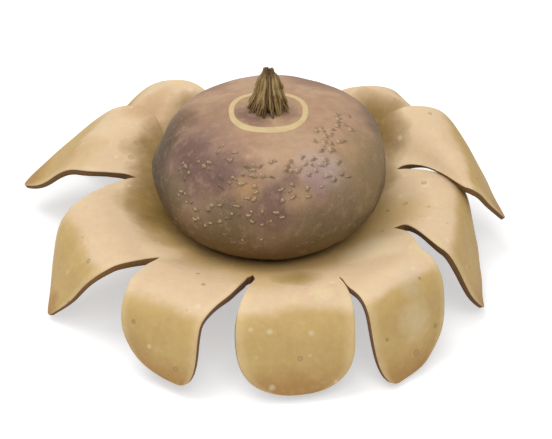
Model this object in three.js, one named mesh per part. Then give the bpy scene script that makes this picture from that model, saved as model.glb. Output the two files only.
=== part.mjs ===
// Earthstar fungus: an outer wall split into ten rays that are bent down to the ground, a round spore sac
// sitting in the cup at its middle, and a fibrous cone on top of the sac.
// Millimetres, +Z up. The ground is z = 0 and the sac's axis is the Z axis. Azimuths run anticlockwise from
// +X, seen from above, and the front of the star faces -Y.
import * as THREE from 'three';

const DEG = Math.PI / 180;
const UP = new THREE.Vector3(0, 0, 1);

// Outer wall: the undivided collar, and what all rays share.
const SLIT_RADIUS = 21.7;       // the slits between the rays end on this circle, or a little inside it
const SLIT_HEIGHT = 12.4;
const COLLAR_SLOPE = 20;        // degrees up and outwards, at the slit circle
const COLLAR_WIDTH = 4.3;       // the straight part of the collar, inside the slit circle
const COLLAR_THICKNESS = 1.25;
const TIP_THICKNESS = 0.65;
const CROWN = 0.5;              // a ray's edges lie this much lower than its middle
const CROWN_RATE = 2.2;         // the crown is complete at the length divided by this
const TWIST_RATE = 3;           // and the twist at the length divided by this
const RISE_LENGTH = 3;          // arc length over which the collar's slope turns into the ray's own
const END_SHARE = 0.04;         // width of a ray's very end, as a share of its full width
const SWEEP_POWER = 1.6;
const GAP_LENGTH = 2.5;         // arc length over which the slit opens beside a ray

// Cup under the sac, as radius and height, from the axis out to the collar.
const CUP_PROFILE = [[0, 5.6], [6, 6.3], [11.5, 8.6]];
// Underside, from the scar on the ground out to the collar.
const SCAR_RADIUS = 3.6;
const UNDERSIDE_PROFILE = [[SCAR_RADIUS, 0], [5, 0.9], [8, 4.2], [12, 7.1]];

// Spore sac: upper and lower halves are superellipses that meet at the equator.
const SAC_RADIUS = 17.25;
const SAC_EQUATOR = 17.8;
const SAC_UP = 9.85;
const SAC_DOWN = 11.8;
const SAC_UP_POWER = 3.3;
const SAC_DOWN_POWER = 2;
const SHOULDER_AZIMUTH = 182;   // where the sac's shoulder is a little flattened
const SHOULDER_DEPTH = 1.2;
const SHOULDER_RADIUS = 6;      // the flattening begins outside this radius and is complete at twice it
const RING_RADIUS = 5.5;        // middle of the low ring round the mouth
const RING_HALF_WIDTH = 0.45;
const RING_HEIGHT = 0.12;

// Fibrous cone of the mouth.
const CONE_GAP = 0.3;           // clearance under the cone
const CONE_BASE_RADIUS = 2.9;
const CONE_TIP_RADIUS = 1.05;
const CONE_HEIGHT = 6.2;
const CONE_BULGE = 0.9;         // below 1, the cone's sides are drawn in
const CONE_SHIFT = 0.4;         // the cone stands this far behind the sac's axis
const FLUTES = 13;
const FLUTE_DEPTH = 0.09;       // share of the radius
const HORN_HEIGHT = 0.5;        // the two points at the tip stand this much above the cleft between them

// Facets.
const COLUMNS_PER_RAY = 8;
const ROWS_PER_RAY = 15;
const ROW_CROWDING = 1.6;       // above 1, the rows stand closer together towards the tip
const CUP_RINGS = 8;
const UNDERSIDE_RINGS = 9;
const LINE_STEPS = 200;         // steps of a walk along a ray
const PROFILE_POINTS = 240;     // points on the cup's and the underside's curves
const SAC_SEGMENTS = 44;
const SAC_ARC_POINTS = 9;
const CONE_SEGMENTS = 52;
const CONE_ROWS = 7;

// What a ray does unless its own entry says otherwise. Angles in degrees, lengths in millimetres.
const RAY_DEFAULTS = {
  slit: 0,        // how far inside the slit circle the slit at from begins
  length: 22,     // along the ray, from the slit circle to the tip
  half: 8,        // half width of the free part
  rise: 20,       // slope upwards just past the collar
  bend: 8,        // arc length at the middle of the knee
  span: 11,       // arc length that the knee takes
  droop: 72,      // slope downwards past the knee
  sweep: 0,       // sideways drift of the tip, anticlockwise if positive
  belly: 0.5,     // share of the length where the width begins to shrink
  taper: 2,       // how late it shrinks
  blunt: 0.8,     // how round the end is: smaller is blunter
  lean: 0,        // where the end lies across: -1 at the clockwise edge, 0 in the middle, 1 at the other edge
  hold: -1.5,     // arc length up to which the ray still fills its whole sector
  free: 6,        // arc length where it lies wholly along its own axis
  twist: 0,       // the anticlockwise edge ends this much higher than the middle
  gap: 0.05,      // share of the sector that the slit opens by
};

// The ten rays, anticlockwise. from and to are the azimuths of the slits on either side, axis that of the
// free part.
const RAYS = [
  { from: -20, to: 24, axis: -7, slit: 3, length: 18.6, half: 9.7, rise: 12, bend: 6, span: 10, droop: 69,
    sweep: -5.5, belly: 0.45, taper: 1.8, blunt: 0.9, lean: -0.3, free: 5, gap: 0.12 },
  { from: 24, to: 52, axis: 22, slit: 0.5, length: 21.2, half: 8.7, rise: 58, bend: 8, span: 15, droop: 68,
    sweep: -4.5, belly: 0.5, taper: 1.6, blunt: 1, lean: -0.5, hold: 0, free: 8, twist: 2.4, gap: 0.14 },
  { from: 52, to: 74, axis: 45, length: 26, half: 6, rise: 36, bend: 10, span: 16, sweep: 1, belly: 0.3,
    taper: 1.5, blunt: 1, hold: 2, free: 11, twist: 2.2 },
  { from: 74, to: 106, axis: 90, length: 22.5, half: 7, rise: 40, bend: 7, droop: 76 },
  { from: 106, to: 136, axis: 126, length: 27, half: 5.5, rise: 38, bend: 10, span: 19, droop: 62, sweep: 9,
    belly: 0.3, taper: 1.8, blunt: 0.9, hold: 2, free: 11, twist: -2.4, gap: 0.15 },
  { from: 136, to: 162, axis: 149, length: 24.5, rise: 31, bend: 8.5, span: 16, droop: 47, sweep: 1,
    taper: 1.8, blunt: 0.9, lean: 0.6, twist: -1.8, gap: 0.12 },
  { from: 162, to: 225, axis: 201, slit: 1, length: 20.5, half: 9, rise: 35, bend: 6, span: 17, droop: 70,
    sweep: 1.2, belly: 0.3, taper: 1.5, blunt: 1 },
  { from: 225, to: 263, axis: 240, slit: 0.5, length: 20, half: 6.3, rise: 8, bend: 9, span: 13, droop: 78,
    sweep: 2, taper: 3, blunt: 0.45, lean: 0.5, free: 11, gap: 0.1 },
  { from: 263, to: 296, axis: 277, slit: 4, length: 20, half: 8.3, rise: 18, bend: 7, span: 12, taper: 3.5,
    blunt: 0.45, free: 12, gap: 0.1 },
  { from: 296, to: 340, axis: 310, length: 22, half: 6.9, rise: 18, span: 10, droop: 73, sweep: -1.8,
    taper: 3, blunt: 0.5, lean: -0.5, free: 5, gap: 0.1 },
].map((ray) => ({ ...RAY_DEFAULTS, ...ray }));
RAYS.forEach((ray, i) => {
  ray.nextSlit = RAYS[(i + 1) % RAYS.length].slit;
});

/** 0 below 0, 1 above 1, and an even S between. */
function ease(value) {
  const t = THREE.MathUtils.clamp(value, 0, 1);
  return t * t * (3 - 2 * t);
}

/** A closed surface built vertex by vertex. */
class Surface {
  constructor() {
    this.positions = [];
    this.index = [];
  }

  /** Adds a point and returns its number. */
  vertex(point) {
    this.positions.push(point.x, point.y, point.z);
    return this.positions.length / 3 - 1;
  }

  triangle(a, b, c) {
    this.index.push(a, b, c);
  }

  /** A four-cornered face, anticlockwise seen from outside. */
  quad(a, b, c, d) {
    this.triangle(a, b, c);
    this.triangle(a, c, d);
  }

  /** Faces between two rows of vertex numbers. flipped turns them over. */
  strip(inner, outer, flipped) {
    for (let j = 0; j + 1 < inner.length; j += 1) {
      if (flipped) this.quad(inner[j], inner[j + 1], outer[j + 1], outer[j]);
      else this.quad(inner[j], outer[j], outer[j + 1], inner[j + 1]);
    }
  }

  /** Faces between one vertex and a closed row round it. */
  fan(centre, ring, flipped) {
    for (let j = 0; j + 1 < ring.length; j += 1) {
      if (flipped) this.triangle(centre, ring[j + 1], ring[j]);
      else this.triangle(centre, ring[j], ring[j + 1]);
    }
  }

  geometry() {
    const geometry = new THREE.BufferGeometry();
    geometry.setAttribute('position', new THREE.Float32BufferAttribute(this.positions, 3));
    geometry.setIndex(this.index);
    geometry.computeVertexNormals();
    return geometry;
  }
}

/** A point at a radius, azimuth in radians and height. */
function polar(radius, azimuth, height) {
  return new THREE.Vector3(radius * Math.cos(azimuth), radius * Math.sin(azimuth), height);
}

/** Slope of a ray's middle line at an arc length from the slit circle, in radians, up positive. */
function raySlope(ray, s) {
  const rising = COLLAR_SLOPE + (ray.rise - COLLAR_SLOPE) * ease(s / RISE_LENGTH);
  const knee = (ray.rise + ray.droop) * ease((s - (ray.bend - ray.span / 2)) / ray.span);
  return (rising - knee) * DEG;
}

/** Radius, height and slope of a ray's middle line at an arc length from the slit circle. */
function middleLine(ray, s) {
  const step = s / LINE_STEPS;
  let radius = SLIT_RADIUS;
  let height = SLIT_HEIGHT;
  for (let i = 0; i < LINE_STEPS; i += 1) {
    const slope = raySlope(ray, (i + 0.5) * step);
    radius += step * Math.cos(slope);
    height += step * Math.sin(slope);
  }
  return { radius, height, slope: raySlope(ray, s) };
}

/** A place on a ray: across from -1 (clockwise edge) to 1, and run from 0 at the root to 1 at the tip. */
function rayPlace(ray, across, run) {
  const root = -(ray.slit * (1 - across) + ray.nextSlit * (1 + across)) / 2;
  const out = root + (ray.length - root) * run;
  return { across, out, fromSlit: out - root, share: Math.max(out / ray.length, 0), ...middleLine(ray, out) };
}

/** Width of a ray's free part at a share of its length, as a share of its full width. */
function rayFullness(ray, share) {
  const t = THREE.MathUtils.clamp((share - ray.belly) / (1 - ray.belly), 0, 1);
  return END_SHARE + (1 - END_SHARE) * Math.pow(1 - Math.pow(t, ray.taper), ray.blunt);
}

/** The point of a ray at a place on it and a depth under its upper face. */
function rayPoint(ray, place, depth) {
  const { across, share } = place;
  const middle = ((ray.from + ray.to) / 2) * DEG;
  const halfSector = ((ray.to - ray.from) / 2) * DEG;
  const fullness = rayFullness(ray, share);
  const tilt = ray.twist * across * ease(TWIST_RATE * share);
  const above = fullness * (tilt - CROWN * across * across * ease(CROWN_RATE * share)) - depth;
  const along = place.radius - Math.sin(place.slope) * above;
  const height = place.height + Math.cos(place.slope) * above;
  const opening = 1 - ray.gap * ease(place.fromSlit / GAP_LENGTH);
  const inSector = polar(along, middle + across * halfSector * opening, height);
  const aside = ray.half * (across * fullness + ray.lean * (1 - fullness))
    + ray.sweep * Math.pow(share, SWEEP_POWER);
  const onAxis = new THREE.Vector3(along, aside, height).applyAxisAngle(UP, ray.axis * DEG);
  return inSector.lerp(onAxis, ease((place.out - ray.hold) / (ray.free - ray.hold)));
}

/** Both ends of the straight collar in section, at a depth under its upper face, as radius and height. */
function collarSection(depth) {
  const radius = SLIT_RADIUS + depth * Math.sin(COLLAR_SLOPE * DEG);
  const height = SLIT_HEIGHT - depth * Math.cos(COLLAR_SLOPE * DEG);
  return [[radius - COLLAR_WIDTH, height - COLLAR_WIDTH * Math.tan(COLLAR_SLOPE * DEG)], [radius, height]];
}

/** Gives the height at a radius on a smooth curve through radius and height pairs. */
function profileHeight(pairs) {
  const curve = new THREE.SplineCurve(pairs.map(([radius, height]) => new THREE.Vector2(radius, height)));
  const points = curve.getPoints(PROFILE_POINTS);
  return (radius) => {
    const next = points.findIndex((point, i) => i > 0 && (point.x >= radius || i === PROFILE_POINTS));
    const [before, after] = [points[next - 1], points[next]];
    return THREE.MathUtils.mapLinear(radius, before.x, after.x, before.y, after.y);
  };
}

/** The outer wall: cup, collar and rays in one closed surface. */
function buildExoperidium() {
  const surface = new Surface();
  const columns = RAYS.flatMap((ray) => Array.from({ length: COLUMNS_PER_RAY }, (_, j) => {
    const share = j / COLUMNS_PER_RAY;
    const inset = THREE.MathUtils.lerp(ray.slit, ray.nextSlit, share) * Math.cos(COLLAR_SLOPE * DEG);
    return { azimuth: THREE.MathUtils.lerp(ray.from, ray.to, share) * DEG, edge: SLIT_RADIUS - inset };
  }));

  // Rings from an inner radius out to the slits, on one profile.
  const addRings = (pairs, count, firstShare, outwards) => {
    const heightAt = profileHeight(pairs);
    const inner = pairs[0][0];
    return Array.from({ length: count }, (_, k) => {
      const share = THREE.MathUtils.lerp(firstShare, 1, k / (count - 1));
      const ring = columns.map(({ azimuth, edge }) => {
        const radius = THREE.MathUtils.lerp(inner, edge + outwards, share);
        return surface.vertex(polar(radius, azimuth, heightAt(radius)));
      });
      return [...ring, ring[0]];
    });
  };
  const addStrips = (rings, flipped) => {
    for (let k = 0; k + 1 < rings.length; k += 1) surface.strip(rings[k], rings[k + 1], flipped);
  };

  // Upper face of the cup, from the axis outwards.
  const cupRings = addRings([...CUP_PROFILE, ...collarSection(0)], CUP_RINGS, 1 / CUP_RINGS, 0);
  surface.fan(surface.vertex(new THREE.Vector3(0, 0, CUP_PROFILE[0][1])), cupRings[0], false);
  addStrips(cupRings, false);

  // Underside: a flat scar on the ground, then the curve up to the collar's lower edge.
  const outwards = COLLAR_THICKNESS * Math.sin(COLLAR_SLOPE * DEG);
  const underside = [...UNDERSIDE_PROFILE, ...collarSection(COLLAR_THICKNESS)];
  const underRings = addRings(underside, UNDERSIDE_RINGS, 0, outwards);
  surface.fan(surface.vertex(new THREE.Vector3(0, 0, 0)), underRings[0], true);
  addStrips(underRings, true);

  const topSlitRing = cupRings[cupRings.length - 1];
  const lowerSlitRing = underRings[underRings.length - 1];
  RAYS.forEach((ray, i) => addRay(surface, ray, i * COLUMNS_PER_RAY, topSlitRing, lowerSlitRing));
  return surface.geometry();
}

/** One ray, joined to the collar's upper and lower rings from the given column on. */
function addRay(surface, ray, firstColumn, topSlitRing, lowerSlitRing) {
  const acrosses = Array.from({ length: COLUMNS_PER_RAY + 1 }, (_, j) => (2 * j) / COLUMNS_PER_RAY - 1);
  const lastColumn = firstColumn + COLUMNS_PER_RAY + 1;
  const top = [topSlitRing.slice(firstColumn, lastColumn)];
  const lower = [lowerSlitRing.slice(firstColumn, lastColumn)];
  for (let k = 1; k <= ROWS_PER_RAY; k += 1) {
    const run = 1 - Math.pow(1 - k / ROWS_PER_RAY, ROW_CROWDING);
    const places = acrosses.map((across) => rayPlace(ray, across, run));
    const thickness = (place) => THREE.MathUtils.lerp(COLLAR_THICKNESS, TIP_THICKNESS, place.share);
    top.push(places.map((place) => surface.vertex(rayPoint(ray, place, 0))));
    lower.push(places.map((place) => surface.vertex(rayPoint(ray, place, thickness(place)))));
  }
  for (let k = 0; k < ROWS_PER_RAY; k += 1) {
    surface.strip(top[k], top[k + 1], false);
    surface.strip(lower[k], lower[k + 1], true);
    // The cut faces along both edges.
    surface.quad(top[k][0], lower[k][0], lower[k + 1][0], top[k + 1][0]);
    surface.quad(top[k][COLUMNS_PER_RAY], top[k + 1][COLUMNS_PER_RAY],
      lower[k + 1][COLUMNS_PER_RAY], lower[k][COLUMNS_PER_RAY]);
  }
  surface.strip(top[ROWS_PER_RAY], lower[ROWS_PER_RAY], false);
}

/** Height of the sac's upper face at a radius, without the ring. */
function sacTop(radius) {
  const share = Math.min(radius / SAC_RADIUS, 1);
  return SAC_EQUATOR + SAC_UP * Math.pow(1 - Math.pow(share, SAC_UP_POWER), 1 / SAC_UP_POWER);
}

/** Height of the sac's lower face at a radius. */
function sacBottom(radius) {
  const share = Math.min(radius / SAC_RADIUS, 1);
  return SAC_EQUATOR - SAC_DOWN * Math.pow(1 - Math.pow(share, SAC_DOWN_POWER), 1 / SAC_DOWN_POWER);
}

/** The sac: a profile turned about its axis, with the low ring round the mouth. */
function buildSporeSac() {
  const profile = [];
  for (let i = 0; i <= SAC_ARC_POINTS; i += 1) {
    const radius = SAC_RADIUS * Math.sin((i / SAC_ARC_POINTS) * 90 * DEG);
    profile.push(new THREE.Vector2(radius, sacBottom(radius)));
  }
  const ringOuter = RING_RADIUS + RING_HALF_WIDTH;
  const ringInner = RING_RADIUS - RING_HALF_WIDTH;
  const outerAngle = Math.asin(ringOuter / SAC_RADIUS);
  for (let i = 1; i < SAC_ARC_POINTS; i += 1) {
    const radius = SAC_RADIUS * Math.sin(THREE.MathUtils.lerp(90 * DEG, outerAngle, i / SAC_ARC_POINTS));
    profile.push(new THREE.Vector2(radius, sacTop(radius)));
  }
  for (const [radius, lift] of [[ringOuter, 0], [RING_RADIUS, RING_HEIGHT], [ringInner, 0], [0, 0]]) {
    profile.push(new THREE.Vector2(radius, sacTop(radius) + lift));
  }
  const geometry = new THREE.LatheGeometry(profile, SAC_SEGMENTS).rotateX(90 * DEG);
  flattenShoulder(geometry.attributes.position);
  geometry.computeVertexNormals();
  return geometry;
}

/** Presses one shoulder of the sac in, towards the middle of its widest circle. */
function flattenShoulder(positions) {
  const side = polar(1, SHOULDER_AZIMUTH * DEG, 0);
  const centre = new THREE.Vector3(0, 0, SAC_EQUATOR);
  for (let i = 0; i < positions.count; i += 1) {
    const point = new THREE.Vector3().fromBufferAttribute(positions, i);
    const radius = Math.hypot(point.x, point.y);
    const facing = THREE.MathUtils.clamp(point.dot(side) / Math.max(radius, 1), 0, 1);
    const up = THREE.MathUtils.clamp((point.z - SAC_EQUATOR) / SAC_UP, 0, 1);
    const swell = Math.pow(Math.sin((Math.PI * up * radius) / SAC_RADIUS), 2);
    const depth = SHOULDER_DEPTH * facing * facing * swell * ease(radius / SHOULDER_RADIUS - 1);
    point.addScaledVector(centre.clone().sub(point).normalize(), depth);
    positions.setXYZ(i, point.x, point.y, point.z);
  }
}

/** The fluted cone, with a cleft tip. */
function buildPeristome() {
  const surface = new Surface();
  const rings = [];
  for (let k = 0; k <= CONE_ROWS; k += 1) {
    const share = k / CONE_ROWS;
    const flare = THREE.MathUtils.lerp(CONE_BASE_RADIUS, CONE_TIP_RADIUS, Math.pow(share, CONE_BULGE));
    const ring = [];
    for (let j = 0; j < CONE_SEGMENTS; j += 1) {
      const azimuth = (j / CONE_SEGMENTS) * 360 * DEG;
      const radius = flare * (1 + FLUTE_DEPTH * Math.cos(FLUTES * azimuth));
      const horn = HORN_HEIGHT * ease(4 * share - 3) * (0.5 + 0.5 * Math.cos(2 * azimuth));
      ring.push(surface.vertex(polar(radius, azimuth, share * CONE_HEIGHT + horn)));
    }
    rings.push([...ring, ring[0]]);
  }
  surface.fan(surface.vertex(new THREE.Vector3(0, 0, 0)), rings[0], true);
  for (let k = 0; k < CONE_ROWS; k += 1) surface.strip(rings[k], rings[k + 1], true);
  surface.fan(surface.vertex(new THREE.Vector3(0, 0, CONE_HEIGHT)), rings[CONE_ROWS], false);
  return surface.geometry();
}

/** A named mesh with its own material. */
function piece(name, geometry, color, roughness) {
  const mesh = new THREE.Mesh(geometry, new THREE.MeshStandardMaterial({ color, roughness, metalness: 0 }));
  mesh.name = name;
  return mesh;
}

const earthstar = new THREE.Group();
earthstar.add(piece('exoperidium', buildExoperidium(), 0xdcc096, 0.85));
earthstar.add(piece('spore_sac', buildSporeSac(), 0x947865, 0.8));
const peristome = piece('peristome', buildPeristome(), 0x6d5538, 0.95);
peristome.position.set(0, CONE_SHIFT, sacTop(0) + CONE_GAP);
earthstar.add(peristome);

export default earthstar;
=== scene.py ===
"""Earthstar fungus: the fine surface, finishes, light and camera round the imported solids.

Everything is in the row's frame: metres, +Z up, the ground at z = 0 and the spore sac's axis on the Z axis.
Sizes in the classes below are in millimetres and azimuths in degrees, anticlockwise from +X seen from above,
and are turned into metres where a mesh is made. The front of the star faces -Y.
"""

import logging
import math
from dataclasses import dataclass, field, fields
from enum import Enum
from typing import Iterable, Mapping, Sequence

import bpy
import numpy as np
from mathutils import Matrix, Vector


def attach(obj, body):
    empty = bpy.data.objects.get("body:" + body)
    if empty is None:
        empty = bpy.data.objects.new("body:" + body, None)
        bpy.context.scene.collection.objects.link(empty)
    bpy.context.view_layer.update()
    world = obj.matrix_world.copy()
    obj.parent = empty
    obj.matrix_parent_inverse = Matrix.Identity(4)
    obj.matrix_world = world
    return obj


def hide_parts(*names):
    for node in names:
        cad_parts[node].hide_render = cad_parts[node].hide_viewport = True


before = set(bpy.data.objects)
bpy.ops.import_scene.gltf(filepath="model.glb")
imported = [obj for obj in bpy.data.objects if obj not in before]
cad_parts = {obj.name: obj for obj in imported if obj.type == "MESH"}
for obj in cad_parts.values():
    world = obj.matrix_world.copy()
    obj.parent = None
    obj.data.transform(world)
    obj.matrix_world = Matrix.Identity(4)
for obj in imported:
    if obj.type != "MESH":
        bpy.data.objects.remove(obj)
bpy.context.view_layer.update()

MM = 0.001
BODY = "root"
log = logging.getLogger("earthstar")

Numbers = np.ndarray | float
Socket = bpy.types.NodeSocket
Sockets = Mapping[str, Socket]
Material = bpy.types.Material
Piece = bpy.types.Object


# ---------------------------------------------------------------------------------------------- helpers


def srgb(code: str) -> tuple[float, ...]:
    """The linear red, green and blue of a colour in six hex digits, such as "dcc096"."""
    values = (int(code[i : i + 2], 16) / 255 for i in (0, 2, 4))
    return tuple(v / 12.92 if v <= 0.04045 else ((v + 0.055) / 1.055) ** 2.4 for v in values)


def ease(value: Numbers) -> Numbers:
    """0 below 0, 1 above 1 and an even S between."""
    t = np.clip(value, 0.0, 1.0)
    return t * t * (3 - 2 * t)


def fuller(value: np.ndarray, power: float) -> np.ndarray:
    """Numbers from -1 to 1 pushed outwards by a power under 1, each with its own sign."""
    return np.sign(value) * np.abs(value) ** power


def turns(count: int) -> np.ndarray:
    """Angles in radians evenly all the way round, the first not repeated at the end."""
    return np.linspace(0, 2 * math.pi, count, endpoint=False)


def polar(radius: Numbers, azimuth: Numbers, height: Numbers) -> np.ndarray:
    """Points, with x, y and z last, at a radius, an azimuth in radians and a height."""
    return np.stack(np.broadcast_arrays(radius * np.cos(azimuth), radius * np.sin(azimuth), height), axis=-1)


def unit(directions: np.ndarray) -> np.ndarray:
    """Directions brought to length 1."""
    return directions / np.linalg.norm(directions, axis=-1, keepdims=True)


def closed(grid: np.ndarray) -> np.ndarray:
    """A grid of vertex numbers with its first column again at its end, so that its faces go all round."""
    return np.concatenate([grid, grid[:, :1]], axis=1)


def spline(pairs: Sequence[tuple[float, float]], count: int) -> np.ndarray:
    """Points along a smooth curve through the given radius and height pairs.

    Args:
        pairs: Radius and height of each point that the curve passes.
        count: How many points to give back.

    Returns:
        An array of count rows, each a radius and a height.
    """
    knots = np.array(pairs, float)
    padded = np.vstack([2 * knots[0] - knots[1], knots, 2 * knots[-1] - knots[-2]])
    place = np.linspace(0, len(knots) - 1, count)
    first = np.minimum(place.astype(int), len(knots) - 2)
    t = (place - first)[:, None]
    a, b, c, d = (padded[first + k] for k in range(4))
    return 0.5 * (2 * b + (c - a) * t + (2 * a - 5 * b + 4 * c - d) * t**2 + (3 * b - a - 3 * c + d) * t**3)


def add_object(name: str, data: bpy.types.ID) -> Piece:
    """Puts a mesh, a lamp or a camera into the scene.

    Args:
        name: The object's name.
        data: What it holds.

    Returns:
        The object.
    """
    item = bpy.data.objects.new(name, data)
    bpy.context.scene.collection.objects.link(item)
    return item


class Ripple:
    """A smooth random field over space, made of plane waves in random directions."""

    WAVES = 9
    FINENESS = (0.7, 1.5)

    def __init__(self, wavelength: float, seed: int) -> None:
        """Draws the waves.

        Args:
            wavelength: Their usual length, in the units of the points.
            seed: Seed of the random draws.
        """
        rng = np.random.default_rng(seed)
        direction = rng.normal(size=(self.WAVES, 3))
        fineness = 2 * math.pi / wavelength * rng.uniform(*self.FINENESS, (self.WAVES, 1))
        self.waves = unit(direction) * fineness
        self.phase = rng.uniform(0, 2 * math.pi, self.WAVES)

    def __call__(self, points: np.ndarray) -> np.ndarray:
        """The field at some points, mostly between -1 and 1."""
        return np.sin(points @ self.waves.T + self.phase).sum(axis=-1) / math.sqrt(self.WAVES)


@dataclass
class MeshParts:
    """Vertices, faces and vertex values gathered for one mesh, in millimetres."""

    vertices: list[np.ndarray] = field(default_factory=list)
    faces: list[np.ndarray] = field(default_factory=list)
    slots: list[np.ndarray] = field(default_factory=list)
    values: dict[str, list[np.ndarray]] = field(default_factory=dict)
    count: int = 0

    def add_points(self, points: np.ndarray, **values: Numbers) -> np.ndarray:
        """Adds vertices.

        Args:
            points: Array whose last axis is x, y and z.
            **values: Named vertex values, each a number or an array of the points' shape.

        Returns:
            The new vertices' numbers, in the shape of the points.
        """
        shape = points.shape[:-1]
        total = int(np.prod(shape))
        self.vertices.append(points.reshape(-1, 3))
        for name, value in values.items():
            self.values.setdefault(name, []).append(np.broadcast_to(value, shape).reshape(-1))
        numbers = np.arange(self.count, self.count + total).reshape(shape)
        self.count += total
        return numbers

    def add_point(self, place: Sequence[float], **values: float) -> int:
        """Adds one vertex and gives its number."""
        return int(self.add_points(np.array([place], float), **values)[0])

    def point(self, number: int) -> np.ndarray:
        """The place of one vertex.

        Args:
            number: The vertex's number.

        Returns:
            Its x, y and z.
        """
        for block in self.vertices:
            if number < len(block):
                return block[number]
            number -= len(block)
        raise IndexError(number)

    def add_strip(self, grid: np.ndarray, slot: int = 0, flipped: bool = False) -> None:
        """Adds the faces of a grid of vertex numbers.

        Args:
            grid: Vertex numbers, rows by columns.
            slot: Material slot of the faces.
            flipped: Turns the faces over.
        """
        a, b, c, d = grid[:-1, :-1], grid[1:, :-1], grid[1:, 1:], grid[:-1, 1:]
        quads = np.stack([a, d, c, b] if flipped else [a, b, c, d], axis=-1).reshape(-1, 4)
        self.faces.append(quads)
        self.slots.append(np.full(len(quads), slot))

    def add_fan(self, centre: int, ring: np.ndarray, slot: int = 0, flipped: bool = False) -> None:
        """Adds the faces between one vertex and a closed row round it.

        Args:
            centre: The vertex in the middle.
            ring: Vertex numbers round it, the first repeated at the end.
            slot: Material slot of the faces.
            flipped: Turns the faces over.
        """
        middle = np.full(len(ring) - 1, centre)
        around = (ring[1:], ring[:-1]) if flipped else (ring[:-1], ring[1:])
        self.faces.append(np.stack([middle, *around], axis=-1))
        self.slots.append(np.full(len(ring) - 1, slot))

    def add_tube(self, grid: np.ndarray, start: int, end: int, flipped: bool = False) -> None:
        """Adds the faces of a closed skin round an axis, which narrows to one vertex at either end.

        Args:
            grid: Vertex numbers, rows along the axis by closed columns.
            start: The vertex before the first row.
            end: The vertex after the last row.
            flipped: Turns the faces over.
        """
        self.add_strip(grid, flipped=flipped)
        self.add_fan(start, grid[0], flipped=flipped)
        self.add_fan(end, grid[-1], flipped=not flipped)

    def build(self, name: str, materials: Iterable[Material]) -> Piece:
        """Makes the object, smooth shaded and in metres.

        Args:
            name: The object's name.
            materials: One material per slot.

        Returns:
            The new object.
        """
        mesh = bpy.data.meshes.new(name)
        mesh.from_pydata((np.concatenate(self.vertices) * MM).tolist(), [],
                         [face.tolist() for group in self.faces for face in group])
        mesh.validate()
        for material in materials:
            mesh.materials.append(material)
        mesh.polygons.foreach_set("material_index", np.concatenate(self.slots).astype(np.int32))
        for key, parts in self.values.items():
            attribute = mesh.attributes.new(key, "FLOAT", "POINT")
            attribute.data.foreach_set("value", np.concatenate(parts).astype(np.float32))
        mesh.shade_smooth()
        mesh.update()
        return add_object(name, mesh)


# ------------------------------------------------------------------------------------------ shader nodes


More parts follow.
